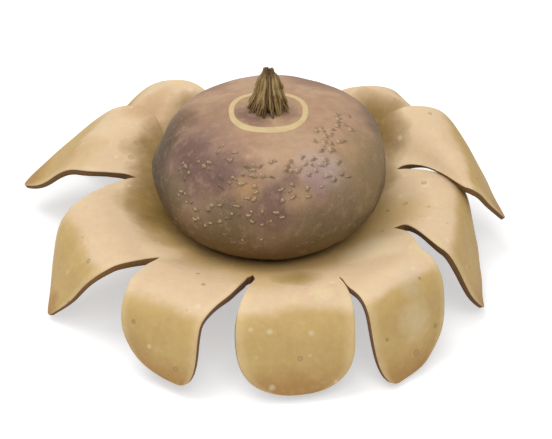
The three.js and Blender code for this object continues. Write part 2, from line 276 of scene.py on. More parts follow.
class Nodes:
    """Adds and joins the nodes of one tree. A colour is a socket or six hex digits."""

    def __init__(self, tree: bpy.types.NodeTree) -> None:
        """Takes the tree to add to."""
        self.tree = tree

    def add(self, kind: str, **settings: object) -> bpy.types.Node:
        """Adds a node.

        Args:
            kind: The node's type name without "ShaderNode".
            **settings: Properties to set on it.

        Returns:
            The node.
        """
        node = self.tree.nodes.new(kind if kind.startswith("Node") else "ShaderNode" + kind)
        for name, value in settings.items():
            setattr(node, name, value)
        return node

    def feed(self, target: Socket, source: Socket | float | str | tuple[float, ...]) -> None:
        """Joins a socket to an input, or sets the input to a constant.

        Args:
            target: The input.
            source: A socket, a number, a vector or a colour's hex digits.
        """
        if isinstance(source, Socket):
            self.tree.links.new(source, target)
        else:
            target.default_value = (*srgb(source), 1.0) if isinstance(source, str) else source

    def fill(self, node: bpy.types.Node, **inputs: Socket | float | str | tuple[float, ...]) -> Sockets:
        """Feeds a node's inputs by name.

        Args:
            node: The node.
            **inputs: What its inputs take, with _ for a space.

        Returns:
            The node's outputs.
        """
        for name, source in inputs.items():
            self.feed(node.inputs[name.replace("_", " ")], source)
        return node.outputs

    def math(self, operation: str, a: Socket | float, b: Socket | float = 0.0, clamp: bool = False) -> Socket:
        """Works out one number from two.

        Args:
            operation: A Math node's operation.
            a: First number.
            b: Second number.
            clamp: Keeps the result from 0 to 1.

        Returns:
            The result's socket.
        """
        node = self.add("Math", operation=operation, use_clamp=clamp)
        self.feed(node.inputs[0], a)
        self.feed(node.inputs[1], b)
        return node.outputs[0]

    def times(self, a: Socket | float, b: Socket | float) -> Socket:
        """The product of two numbers."""
        return self.math("MULTIPLY", a, b)

    def plus(self, a: Socket | float, b: Socket | float) -> Socket:
        """The sum of two numbers."""
        return self.math("ADD", a, b)

    def minus(self, a: Socket | float, b: Socket | float) -> Socket:
        """The first number less the second."""
        return self.math("SUBTRACT", a, b)

    def swing(self, mask: Socket, size: Socket | float) -> Socket:
        """A mask from 0 to 1 as a number that swings round 0 by half the size either way."""
        return self.times(self.minus(mask, 0.5), size)

    def step(self, value: Socket, low: float, high: float) -> Socket:
        """An even S from 0 at low to 1 at high, which may be the smaller.

        Args:
            value: The number to look at.
            low: Where the result is 0.
            high: Where the result is 1.

        Returns:
            The result's socket.
        """
        start, end = (0.0, 1.0) if low < high else (1.0, 0.0)
        node = self.add("MapRange", interpolation_type="SMOOTHSTEP")
        return self.fill(node, Value=value, From_Min=min(low, high), From_Max=max(low, high), To_Min=start,
                         To_Max=end)["Result"]

    def blend(self, share: Socket, a: Socket | str, b: Socket | str) -> Socket:
        """Mixes two colours.

        Args:
            share: How much of the second, from 0 to 1.
            a: First colour.
            b: Second colour.

        Returns:
            The mixed colour's socket.
        """
        node = self.add("Mix", data_type="RGBA", clamp_factor=True)
        for number, source in ((0, share), (6, a), (7, b)):
            self.feed(node.inputs[number], source)
        return node.outputs[2]

    def value(self, name: str) -> Socket:
        """A vertex value of the mesh by name, 0 where the mesh has none."""
        return self.add("Attribute", attribute_name=name).outputs["Fac"]

    def place(self) -> Socket:
        """The point in the object's own space, in metres."""
        return self.add("TexCoord").outputs["Object"]

    def noise(self, vector: Socket, scale: Socket, detail: float) -> Socket:
        """Smooth noise from 0 to 1, in lumps per metre and octaves of detail."""
        return self.fill(self.add("TexNoise"), Vector=vector, Scale=scale, Detail=detail)["Fac"]

    def cells(self, vector: Socket, scale: Socket, feature: str) -> Sockets:
        """Random cells, with the distance from each one's middle."""
        return self.fill(self.add("TexVoronoi", feature=feature), Vector=vector, Scale=scale)

    def group(self, tree: bpy.types.NodeTree, **inputs: Socket | float | tuple[float, ...]) -> Sockets:
        """Places a shared effect, feeds its inputs by name and gives its outputs."""
        return self.fill(self.add("Group", node_tree=tree), **inputs)


class Effects:
    """The effects that several finishes share, each built once as a node group."""

    ORIGIN = (0.0, 0.0, 0.0)
    COARSE_SHARE = 0.7
    FINER = 4.3
    CELL_SCALE = 0.6
    CELL_DEPTH = 0.5
    SMALLEST_SPOT = 0.6
    SPOT_RANGE = 0.8
    SPOT_EDGE = (1.0, 0.25)
    RING_PLACE = 0.9
    RING_EDGE = (0.3, 0.0)
    PATCH_LUMPS = 1.6

    def __init__(self) -> None:
        """Builds every group."""
        self.mottle = self._mottle()
        self.grain = self._grain()
        self.spots = self._spots()
        self.patch = self._patch()

    @staticmethod
    def _open(name: str, takes: dict[str, float | tuple[float, ...]], gives: Sequence[str]
              ) -> tuple[Nodes, Sockets, Sockets]:
        """Starts a group.

        Args:
            name: The group's name.
            takes: Default by input name, a number or a vector.
            gives: Names of the outputs, which are all numbers.

        Returns:
            The tree's nodes, the sockets that give the inputs and those that take the outputs.
        """
        tree = bpy.data.node_groups.new(name, "ShaderNodeTree")
        for key, default in takes.items():
            kind = "NodeSocketVector" if isinstance(default, tuple) else "NodeSocketFloat"
            tree.interface.new_socket(key, in_out="INPUT", socket_type=kind).default_value = default
        for key in gives:
            tree.interface.new_socket(key, in_out="OUTPUT", socket_type="NodeSocketFloat")
        nodes = Nodes(tree)
        return nodes, nodes.add("NodeGroupInput").outputs, nodes.add("NodeGroupOutput").inputs

    def _mottle(self) -> bpy.types.NodeTree:
        """Soft clouds of two sizes.

        Returns:
            The group, whose mask goes from 0 to 1 round 0.5.
        """
        takes = {"Vector": self.ORIGIN, "Scale": 100.0, "Contrast": 1.0}
        nodes, given, out = self._open("mottle", takes, ["Mask"])
        coarse = nodes.noise(given["Vector"], given["Scale"], detail=2.0)
        fine = nodes.noise(given["Vector"], nodes.times(given["Scale"], self.FINER), detail=4.0)
        both = nodes.plus(nodes.times(coarse, self.COARSE_SHARE), nodes.times(fine, 1 - self.COARSE_SHARE))
        nodes.feed(out["Mask"], nodes.math("ADD", nodes.swing(both, given["Contrast"]), 0.5, clamp=True))
        return nodes.tree

    def _grain(self) -> bpy.types.NodeTree:
        """A fine leathery height: small lumps, and finer ones on them.

        Returns:
            The group.
        """
        nodes, given, out = self._open("leathery_grain", {"Vector": self.ORIGIN, "Scale": 1500.0}, ["Height"])
        lumps = nodes.noise(given["Vector"], given["Scale"], detail=5.0)
        cells = nodes.cells(given["Vector"], nodes.times(given["Scale"], self.CELL_SCALE), "SMOOTH_F1")
        nodes.feed(out["Height"], nodes.minus(lumps, nodes.times(cells["Distance"], self.CELL_DEPTH)))
        return nodes.tree

    def _spots(self) -> bpy.types.NodeTree:
        """Round spots at random places, of which a share is shown.

        Returns:
            The group, with a mask of the filled spots and one of a ring round the edge of each.
        """
        takes = {"Vector": self.ORIGIN, "Scale": 200.0, "Radius": 0.12, "Share": 0.4}
        nodes, given, out = self._open("round_spots", takes, ["Spot", "Ring"])
        cells = nodes.cells(given["Vector"], given["Scale"], "F1")
        draw = nodes.add("SeparateColor")
        nodes.feed(draw.inputs[0], cells["Color"])
        chosen = nodes.math("LESS_THAN", draw.outputs[0], given["Share"])
        size = nodes.plus(nodes.times(draw.outputs[1], self.SPOT_RANGE), self.SMALLEST_SPOT)
        outwards = nodes.math("DIVIDE", cells["Distance"], nodes.times(given["Radius"], size))
        off_ring = nodes.math("ABSOLUTE", nodes.minus(outwards, self.RING_PLACE))
        nodes.feed(out["Spot"], nodes.times(nodes.step(outwards, *self.SPOT_EDGE), chosen))
        nodes.feed(out["Ring"], nodes.times(nodes.step(off_ring, *self.RING_EDGE), chosen))
        return nodes.tree

    def _patch(self) -> bpy.types.NodeTree:
        """A soft round patch of the surface about a point, with an uneven edge.

        Returns:
            The group.
        """
        takes = {"Vector": self.ORIGIN, "Centre": self.ORIGIN, "Radius": 0.005, "Edge": 0.5, "Wobble": 0.5}
        nodes, given, out = self._open("soft_patch", takes, ["Mask"])
        away = nodes.add("VectorMath", operation="DISTANCE")
        nodes.feed(away.inputs[0], given["Vector"])
        nodes.feed(away.inputs[1], given["Centre"])
        scale = nodes.math("DIVIDE", self.PATCH_LUMPS, given["Radius"])
        lumps = nodes.noise(given["Vector"], scale, detail=4.0)
        uneven = nodes.times(nodes.swing(lumps, 2.0), given["Wobble"])
        outwards = nodes.math("DIVIDE", away.outputs["Value"], given["Radius"])
        inside = nodes.minus(1.0, nodes.plus(outwards, uneven))
        mask = nodes.math("DIVIDE", inside, given["Edge"], clamp=True)
        nodes.feed(out["Mask"], nodes.times(mask, nodes.minus(2.0, mask)))
        return nodes.tree


class Paint:
    """One material in the making: its shader, and the colour as far as it is laid on."""

    SHEEN = 0.3

    def __init__(self, name: str, effects: Effects, colour: str) -> None:
        """Starts the material with one Principled BSDF.

        Args:
            name: The material's name.
            effects: The shared effects.
            colour: The first coat.
        """
        self.material = bpy.data.materials.new(name)
        self.material.use_nodes = True
        self.nodes = Nodes(self.material.node_tree)
        self.shader = self.material.node_tree.nodes["Principled BSDF"]
        self.effects = effects
        self.colour: Socket | str = colour
        self.place = self.nodes.place()

    def effect(self, tree: bpy.types.NodeTree, **inputs: float | tuple[float, ...]) -> Sockets:
        """Places a shared effect over the surface and gives its outputs."""
        return self.nodes.group(tree, Vector=self.place, **inputs)

    def mottle(self, scale: float, contrast: float) -> Socket:
        """Clouds from 0 to 1 round 0.5, at a scale per metre."""
        return self.effect(self.effects.mottle, Scale=scale, Contrast=contrast)["Mask"]

    def spots(self, scale: float, radius: float, share: float) -> tuple[Socket, Socket]:
        """Masks of round spots in a share of the cells of a scale per metre, and of the rings round them."""
        spots = self.effect(self.effects.spots, Scale=scale, Radius=radius, Share=share)
        return spots["Spot"], spots["Ring"]

    def tint(self, colour: Socket | str, mask: Socket, strength: float = 1.0) -> None:
        """Lays a colour on as far as a mask and a strength let it."""
        self.colour = self.nodes.blend(self.nodes.times(mask, strength), self.colour, colour)

    def patch(self, colour: str, centre: np.ndarray, size: float, strength: float, **edge: float) -> None:
        """Lays on a soft patch; middle and radius are in millimetres, and `edge` sets its edge and wobble."""
        patch = self.effect(self.effects.patch, Centre=tuple(centre * MM), Radius=size * MM, **edge)
        self.tint(colour, patch["Mask"], strength)

    def finish(self, roughness: Socket | float, grain: float, depth: float, strength: float,
               relief: Socket | float = 0.0) -> Material:
        """Feeds the shader.

        Args:
            roughness: Its roughness.
            grain: Scale of the leathery grain per metre.
            depth: Depth of the bump in metres.
            strength: Share of the bump used.
            relief: Other height that the bump shows, from 0 to 1.

        Returns:
            The finished material.
        """
        height = self.nodes.plus(self.effect(self.effects.grain, Scale=grain)["Height"], relief)
        bump = self.nodes.fill(self.nodes.add("Bump"), Height=height, Distance=depth, Strength=strength)
        self.nodes.fill(self.shader, Base_Color=self.colour, Roughness=roughness, Normal=bump["Normal"],
                        Specular_IOR_Level=self.SHEEN)
        return self.material


# ---------------------------------------------------------------------------------------------- finishes


@dataclass(frozen=True)
class StainAndPaintedLight:
    """A soft patch of colour on the wall, centred at an azimuth, a radius and a height, used for stains of
    the wall's own colour and for painted light and shade.
    """

    EDGE = 0.95

    colour: str
    azimuth: float
    radius: float
    height: float
    size: float
    strength: float

    def lay(self, paint: Paint, wobble: float) -> None:
        """Lays the patch on, with an edge as uneven as wobble says."""
        centre = polar(self.radius, np.radians(self.azimuth), self.height)
        paint.patch(self.colour, centre, self.size, self.strength, Edge=self.EDGE, Wobble=wobble)


OLIVE = "8d6d30"
LIGHT_OLIVE = "a18344"
DEEP_OLIVE = "8a6c36"
BUFF_PAINTED_LIGHT = "f4dcb2"
OCHRE = "bf9d5c"
GREY = "d3c4ae"


@dataclass(frozen=True)
class UpperSkin:
    """The pale upper face of the outer wall: ochre where it bends down, partly as painted shade, and olive
    with painted shade in the hollow by the sac; painted light lifts the collar in front of the sac and
    brightens the edges.
    """

    effects: Effects
    pale: str = "e6cba5"
    rosy: str = "dcbd98"
    cream: str = "efd6a8"
    ochre: str = "c09f60"
    gold: str = "c9a969"
    tip: str = "ab8049"
    hollow: str = "dcb976"
    contact_light: str = "dfbf84"
    spot: str = "f1dfc0"
    mark: str = "8f7556"
    pit: str = "7d6040"
    roughness: float = 0.54
    dull: float = 0.16
    unevenness: float = 0.28
    bend_border: tuple[float, float] = (0.38, 0.8)
    tip_border: tuple[float, float] = (0.76, 0.99)
    rim_light_border: tuple[float, float] = (0.76, 0.97)
    rim_light_start: tuple[float, float] = (0.05, 0.3)
    hollow_shade_border: tuple[float, float] = (22.0, 15.5)
    contact_light_border: tuple[float, float] = (14.5, 11.5)
    stains: tuple[StainAndPaintedLight, ...] = (
        # Olive with painted shade round the sac: these eight, where the collar runs down into the hollow by
        # it.
        StainAndPaintedLight(OLIVE, 188, 16.8, 12.0, 5.5, 1.0),
        StainAndPaintedLight(OLIVE, 171, 17.3, 12.6, 5.5, 1.0),
        StainAndPaintedLight(LIGHT_OLIVE, 206, 17.0, 11.2, 4.5, 0.5),
        StainAndPaintedLight(LIGHT_OLIVE, 180, 20.0, 12.5, 4.0, 0.6),
        StainAndPaintedLight(OLIVE, 153, 18.5, 13.4, 6.0, 1.0),
        StainAndPaintedLight(OLIVE, 145, 20.8, 14.5, 6.0, 0.9),
        StainAndPaintedLight(OLIVE, 134, 21.5, 15.0, 6.0, 1.0),
        StainAndPaintedLight(OLIVE, 120, 23.0, 16.0, 6.0, 1.0),
        StainAndPaintedLight("b98958", 131, 29, 17, 5.0, 0.6),
        StainAndPaintedLight(OCHRE, 22, 32.5, 12.5, 5.5, 0.6),
        StainAndPaintedLight(OCHRE, 158, 32.5, 12.5, 5.5, 0.45),
        # Olive with painted shade round the sac's right side: these four.
        StainAndPaintedLight(DEEP_OLIVE, 40, 20.5, 15.0, 6.5, 1.0),
        StainAndPaintedLight(DEEP_OLIVE, 25, 17.4, 13.2, 4.6, 0.9),
        StainAndPaintedLight(LIGHT_OLIVE, 5, 16.2, 12.3, 3.5, 0.2),
        StainAndPaintedLight(OLIVE, 50, 26.0, 15.8, 6.0, 1.0),
        # A golden and an olive smear in front of the sac; the golden one is made lighter as painted light in
        # the sac's shadow.
        StainAndPaintedLight("dcb671", 268, 21, 11.5, 6.0, 0.45),
        StainAndPaintedLight("ab8c48", 281, 21.2, 11.6, 4.0, 0.85),
        StainAndPaintedLight("cfab68", 352, 20, 12, 5.0, 0.5),
        StainAndPaintedLight("a98c55", 235, 18, 11, 4.5, 0.4),
        # Painted light: these two buff patches lift the collar in front of the sac, where the sac's shadow
        # falls.
        StainAndPaintedLight(BUFF_PAINTED_LIGHT, 320, 19.5, 11.6, 5.5, 1.0),
        StainAndPaintedLight(BUFF_PAINTED_LIGHT, 222, 20.5, 12, 3.5, 0.5),
        StainAndPaintedLight("a8764c", 203, 33.5, 3.5, 1.5, 0.65),
        StainAndPaintedLight("a97f50", 236, 31.0, 5.0, 4.0, 0.4),
        StainAndPaintedLight("aa804c", 296, 31.5, 4.0, 3.5, 0.4),
        StainAndPaintedLight(GREY, 226, 26.5, 13, 2.6, 0.4),
        StainAndPaintedLight(GREY, 311, 29.5, 12, 2.6, 0.35),
        StainAndPaintedLight("f0d9ab", 286, 26.5, 13, 2.0, 0.6),
        StainAndPaintedLight("ecd3a2", 325, 27.0, 13, 3.0, 0.5),
        StainAndPaintedLight("e0cba2", 309, 31.5, 8, 3.6, 0.6),
        # Olive with painted shade behind the sac.
        StainAndPaintedLight(OLIVE, 90, 22, 13, 8.0, 0.7),
    )

    def material(self) -> Material:
        """Builds the material, which reads the wall's vertex values along, across, droop and radius.

        Returns:
            The material.
        """
        paint = Paint("upper_skin", self.effects, self.pale)
        nodes = paint.nodes
        clouds = paint.mottle(scale=110.0, contrast=2.4)
        fine = paint.mottle(scale=240.0, contrast=1.8)
        dust = paint.mottle(scale=1200.0, contrast=2.2)
        self._lay_skin(paint, clouds, fine)
        for stain in self.stains:
            stain.lay(paint, wobble=0.35)
        paint.tint(self.pit, nodes.step(dust, 0.5, 0.0), strength=0.07)
        paint.tint(self.spot, nodes.step(dust, 0.5, 1.0), strength=0.1)

        # Small pale spots, darker round marks with a ring, and a few pits.
        pale_spots, _ = paint.spots(scale=360.0, radius=0.18, share=0.6)
        marks, rings = paint.spots(scale=260.0, radius=0.09, share=0.7)
        pits, _ = paint.spots(scale=430.0, radius=0.08, share=0.45)
        paint.tint(self.spot, pale_spots, strength=0.4)
        paint.tint(self.mark, marks, strength=0.3)
        paint.tint(self.mark, rings, strength=0.65)
        paint.tint(self.pit, pits, strength=0.6)
        relief = nodes.minus(nodes.times(pale_spots, 0.6), nodes.plus(nodes.times(marks, 0.8), pits))
        roughness = nodes.plus(nodes.times(fine, self.dull), self.roughness)
        return paint.finish(roughness, grain=1100.0, depth=0.0001, strength=0.3, relief=relief)

    def _lay_skin(self, paint: Paint, clouds: Socket, fine: Socket) -> None:
        """Lays on the colours under the stains and spots.

        Args:
            paint: The material so far.
            clouds: Broad mottling, from 0 to 1.
            fine: Finer mottling, from 0 to 1.
        """
        nodes = paint.nodes
        paint.tint(self.rosy, clouds)
        paint.tint(self.cream, nodes.step(fine, 0.5, 0.95), strength=0.35)

        # Where the ray turns down it is ochre, partly its own colour and partly painted shade, with a soft
        # border, and browner at the tip.
        uneven = nodes.swing(clouds, self.unevenness)
        bent_and_shaded = nodes.step(nodes.plus(nodes.value("droop"), uneven), *self.bend_border)
        golden = nodes.blend(nodes.step(fine, 0.2, 0.8), self.ochre, self.gold)
        paint.tint(golden, bent_and_shaded, strength=0.92)
        end = nodes.step(nodes.plus(nodes.value("along"), nodes.times(uneven, 0.5)), *self.tip_border)
        paint.tint(self.tip, end, strength=0.85)

        # Painted highlight: a pale rim along the edges, where they catch the light.
        edge = nodes.step(nodes.math("ABSOLUTE", nodes.value("across")), *self.rim_light_border)
        rim_light = nodes.times(edge, nodes.step(nodes.value("along"), *self.rim_light_start))
        paint.tint(self.cream, rim_light, strength=0.3)

        # Painted shade: the hollow round the sac is darker, and its border wanders by a millimetre or so.
        # Right under the sac it turns a little lighter again, painted light against the shadow that the sac
        # casts.
        radius = nodes.plus(nodes.value("radius"), nodes.times(uneven, 9.0))
        paint.tint(self.hollow, nodes.step(radius, *self.hollow_shade_border), strength=0.85)
        paint.tint(self.contact_light, nodes.step(radius, *self.contact_light_border), strength=0.6)


@dataclass(frozen=True)
class CutEdge:
    """The torn brown faces along the sides of the rays."""

    effects: Effects
    brown: str = "8f683c"
    dark: str = "614629"
    stains: tuple[StainAndPaintedLight, ...] = (
        StainAndPaintedLight("835f4d", 252, 27, 9, 13.0, 0.8),
        StainAndPaintedLight("7c5a4a", 296, 27, 9, 12.0, 0.8),
        StainAndPaintedLight("7a6234", 26, 30, 13, 9.0, 0.7),
    )

    def material(self) -> Material:
        """Builds the material, which reads the wall's vertex value tone.

        Returns:
            The material.
        """
        paint = Paint("cut_edge", self.effects, self.brown)
        paint.tint(self.dark, paint.mottle(scale=300.0, contrast=2.4), strength=0.6)
        paint.tint(self.dark, paint.nodes.value("tone"), strength=0.7)
        for stain in self.stains:
            stain.lay(paint, wobble=0.2)
        return paint.finish(roughness=0.8, grain=2600.0, depth=0.0002, strength=0.6)


@dataclass(frozen=True)
class Underside:
    """The matted brown lower face, with bits of soil felt near the scar."""

    effects: Effects
    tan: str = "a98a63"
    brown: str = "7a5c3d"
    soil: str = "4d3a28"
    soil_border: tuple[float, float] = (22.0, 4.0)

    def material(self) -> Material:
        """Builds the material, which reads the wall's vertex value radius.

        Returns:
            The material.
        """
        paint = Paint("underside", self.effects, self.tan)
        nodes = paint.nodes
        paint.tint(self.brown, paint.mottle(scale=170.0, contrast=3.0))
        crumbs = nodes.step(paint.mottle(scale=900.0, contrast=3.0), 0.45, 0.75)
        near = nodes.plus(nodes.step(nodes.value("radius"), *self.soil_border), 0.2)
        paint.tint(self.soil, nodes.math("MULTIPLY", crumbs, near, clamp=True))
        return paint.finish(roughness=0.9, grain=1100.0, depth=0.0004, strength=0.7)


@dataclass(frozen=True)
class BlotchAndPaintedShade:
    """A soft patch of colour on the sac, used for blotches of its own colour and for painted shade, centred
    at an azimuth and an elevation as seen from its middle.
    """

    colour: str
    azimuth: float
    elevation: float
    size: float
    strength: float


PURPLE = "674b46"
LILAC = "b9a3a0"
MOSS = "665a3c"
UMBER = "4a3a24"
DEEP_UMBER = "46361f"
MAUVE = "77594f"


@dataclass(frozen=True)
class SacSkin:
    """The sac's dull brown skin, with purple, lilac, orange and olive blotches, and painted light and shade:
    lighter on top, darker low down, at its edges, under the grains and round the mouth's foot.
    """

    effects: Effects
    high: str = "b49073"
    middle: str = "9a7b63"
    low: str = "6e593a"
    rim_light: str = "857048"
    pale: str = "cbae8e"
    dark: str = "806656"
    grain: str = "c6ae84"
    stain: str = "5a4633"
    roughness: float = 0.55
    dull: float = 0.2
    unevenness: float = 4.0
    lit_top_border: tuple[float, float] = (23.0, 28.0)
    shaded_low_border: tuple[float, float] = (22.5, 13.0)
    rim_light_border: tuple[float, float] = (15.0, 10.0)
    speck_border: tuple[float, float] = (26.5, 22.0)
    blotch_and_shade_edge: float = 0.9
    blotches_and_painted_shade: tuple[BlotchAndPaintedShade, ...] = (
        BlotchAndPaintedShade("98765f", 185, 48, 6.5, 0.7),
        # Painted shade: this one darkens the sac low on its left edge.
        BlotchAndPaintedShade("665231", 200, 4, 7.0, 0.85),
        BlotchAndPaintedShade("856859", 202, 28, 6.5, 0.8),
        BlotchAndPaintedShade("8c6c60", 222, 30, 8.5, 0.65),
        BlotchAndPaintedShade(PURPLE, 216, 29, 4.4, 0.85),
        BlotchAndPaintedShade(PURPLE, 243, 27, 4.2, 0.8),
        BlotchAndPaintedShade(PURPLE, 229, 21, 3.8, 0.6),
        BlotchAndPaintedShade(PURPLE, 262, 30, 2.6, 0.4),
        BlotchAndPaintedShade(PURPLE, 271, 12, 4.2, 0.6),
        BlotchAndPaintedShade(PURPLE, 279, 23, 3.4, 0.55),
        BlotchAndPaintedShade(PURPLE, 252, 12, 2.8, 0.35),
        BlotchAndPaintedShade(LILAC, 300, 29, 4.2, 0.5),
        BlotchAndPaintedShade(LILAC, 308, 24, 3.0, 0.45),
        BlotchAndPaintedShade("9a7c7a", 296, 22, 2.6, 0.5),
        BlotchAndPaintedShade("b28a58", 259, 21, 2.4, 0.6),
        BlotchAndPaintedShade("c1a07a", 284, 17, 2.6, 0.5),
        BlotchAndPaintedShade("c4a584", 272, 33, 3.0, 0.45),
        BlotchAndPaintedShade(MOSS, 218, 10, 3.6, 0.6),
        BlotchAndPaintedShade(MOSS, 317, 2, 7.0, 0.5),
        BlotchAndPaintedShade(MOSS, 293, -1, 5.0, 0.4),
        BlotchAndPaintedShade(MOSS, 245, 3, 5.0, 0.5),
        BlotchAndPaintedShade("a48a62", 330, 18, 7.0, 0.6),
        # Painted shade: these four darken the sac's left and right edges, where its side turns away, and just
        # below its widest part.
        BlotchAndPaintedShade("46351d", 184, 2, 8.0, 0.9),
        BlotchAndPaintedShade("4e3c26", 182, 20, 6.5, 0.85),
        BlotchAndPaintedShade("54412a", 194, -14, 7.0, 0.7),
        BlotchAndPaintedShade("6a5636", 0, 2, 7.5, 0.7),
        BlotchAndPaintedShade(PURPLE, 60, 28, 6.0, 0.6),
        BlotchAndPaintedShade(PURPLE, 128, 24, 5.0, 0.55),
        BlotchAndPaintedShade(LILAC, 96, 30, 4.5, 0.45),
        # Painted shade: this one darkens the sac's right edge.
        BlotchAndPaintedShade("857048", 343, 4, 8.0, 0.7),
        BlotchAndPaintedShade(MOSS, 160, 8, 6.0, 0.5),
        BlotchAndPaintedShade(MOSS, 26, 6, 6.0, 0.45),
        # Painted shade: these five darken the left and right edges and the underside below the sac's widest
        # part.
        BlotchAndPaintedShade("3f301a", 200, 0, 5.0, 0.7),
        BlotchAndPaintedShade(UMBER, 14, 10, 6.5, 0.85),
        BlotchAndPaintedShade(DEEP_UMBER, 350, -14, 7.0, 0.9),
        BlotchAndPaintedShade(UMBER, 330, -26, 6.5, 0.8),
        BlotchAndPaintedShade(DEEP_UMBER, 212, -24, 6.5, 0.85),
        # Painted shade round the foot of the mouth's cone, inside the ring.
        BlotchAndPaintedShade(MAUVE, 200, 72, 2.6, 0.75),
        BlotchAndPaintedShade(MAUVE, 240, 70, 2.4, 0.6),
        BlotchAndPaintedShade("80624f", 345, 72, 2.0, 0.5),
    )

    def material(self, sac: "SporeSac") -> Material:
        """Builds the material, which reads the grains' vertex values for their pale crests with a painted
        highlight and for the painted shadow on their skirts.

        Args:
            sac: The sac whose sizes place the blotches.

        Returns:
            The material.
        """
        paint = Paint("sac_skin", self.effects, self.middle)
        nodes = paint.nodes
        clouds = paint.mottle(scale=120.0, contrast=2.4)
        fine = paint.mottle(scale=700.0, contrast=2.6)
        specks = paint.mottle(scale=3200.0, contrast=3.0)
        axes = nodes.fill(nodes.add("SeparateXYZ"), Vector=paint.place)
        height = nodes.plus(nodes.math("DIVIDE", axes["Z"], MM), nodes.swing(clouds, self.unevenness))
        # Painted light on the top and painted shade low down: the colour goes lighter above and darker below,
        # and the low colour is also its own greener olive.
        paint.tint(self.high, nodes.step(height, *self.lit_top_border))
        paint.tint(self.pale, nodes.step(clouds, 0.5, 0.9), strength=0.35)
        paint.tint(self.low, nodes.step(height, *self.shaded_low_border))
        for blotch_and_shade in self.blotches_and_painted_shade:
            centre = sac.point(math.radians(blotch_and_shade.azimuth), math.radians(blotch_and_shade.elevation))
            paint.patch(blotch_and_shade.colour, centre, blotch_and_shade.size, blotch_and_shade.strength, Edge=self.blotch_and_shade_edge)
        # Painted light: the lowest band, which sits in the cup's shadow, is lifted towards a lighter olive.
        paint.tint(self.rim_light, nodes.step(height, *self.rim_light_border), strength=0.7)

        # Speckling over everything, the dark specks only low down.
        paint.tint(self.pale, nodes.step(fine, 0.5, 0.95), strength=0.22)
        paint.tint(self.dark, nodes.step(fine, 0.5, 0.05), strength=0.25)
        paint.tint(self.pale, nodes.step(specks, 0.5, 1.0), strength=0.07)
        low_down = nodes.step(height, *self.speck_border)
        paint.tint(self.stain, nodes.times(nodes.step(specks, 0.5, 0.0), low_down), strength=0.16)

        # Painted shadow on the grains' skirts, and their pale crests with a painted highlight on the upper
        # side.
        paint.tint(self.stain, nodes.value("stain"), strength=0.65)
        paint.tint(self.grain, nodes.value("crest"), strength=0.7)
        roughness = nodes.plus(nodes.times(fine, self.dull), self.roughness)
        return paint.finish(roughness, grain=1700.0, depth=0.00008, strength=0.4)


@dataclass(frozen=True)
class RingSkin:
    """The pale straw ring round the mouth."""

    effects: Effects
    straw: str = "dac394"
    shade: str = "cdb282"

    def material(self) -> Material:
        """Builds the material.

        Returns:
            The material.
        """
        paint = Paint("mouth_ring", self.effects, self.straw)
        paint.tint(self.shade, paint.mottle(scale=600.0, contrast=2.4))
        return paint.finish(roughness=0.65, grain=2200.0, depth=0.0001, strength=0.4)


@dataclass(frozen=True)
class FibreSkin:
    """Stiff fibres from straw to dark brown, darkest at the mouth."""

    effects: Effects
    dark: str = "604a2f"
    mid: str = "997e51"
    straw: str = "bfa873"
    top: str = "624a30"
    mid_tone: tuple[float, float] = (0.1, 0.5)
    straw_tone: tuple[float, float] = (0.5, 1.0)
    top_border: tuple[float, float] = (0.72, 0.97)

    def material(self) -> Material:
        """Builds the material, which reads the fibres' vertex values tone and rise.

        Returns:
            The material.
        """
        paint = Paint("mouth_fibres", self.effects, self.dark)
        nodes = paint.nodes
        tone = nodes.value("tone")
        streaks = paint.mottle(scale=1400.0, contrast=3.0)
        paint.tint(self.mid, nodes.step(tone, *self.mid_tone))
        paint.tint(self.straw, nodes.step(tone, *self.straw_tone))
        paint.tint(self.dark, nodes.step(streaks, 0.5, 0.9), strength=0.4)
        paint.tint(self.top, nodes.step(nodes.value("rise"), *self.top_border), strength=0.75)
        return paint.finish(roughness=0.75, grain=5000.0, depth=0.00005, strength=0.6)


# -------------------------------------------------------------------------------------------- outer wall


class Face(Enum):
    """The three kinds of face of the outer wall, by material slot."""

    UPPER = 0
    CUT = 1
    UNDER = 2


@dataclass(frozen=True)
class Ray:
    """One ray of the star. Angles in degrees, lengths in millimetres.

    It fills the wall from start to stop at its root, where each slit runs inwards by the slit of the ray
    clockwise of it, and bends along its own axis further out, from hold to free.
    """

    start: float
    stop: float
    axis: float
    slit: float = 0.0
    length: float = 22.0
    half: float = 8.0
    rise: float = 20.0
    bend: float = 8.0
    span: float = 11.0
    droop: float = 72.0
    sweep: float = 0.0
    belly: float = 0.5
    taper: float = 2.0
    blunt: float = 0.8
    lean: float = 0.0
    hold: float = -1.5
    free: float = 6.0
    twist: float = 0.0
    gap: float = 0.05
    tone: float = 0.3


@dataclass(frozen=True)
class RayGrid:
    """Where the mesh points of one ray lie on it: rows from root to tip, columns from edge to edge."""

    across: np.ndarray
    out: np.ndarray
    share: np.ndarray
    from_slit: np.ndarray
    radius: np.ndarray
    height: np.ndarray
    slope: np.ndarray

    def part(self, *picked: slice) -> "RayGrid":
        """The same for some of the rows, and of the columns."""
        return RayGrid(*(getattr(self, item.name)[picked] for item in fields(self)))


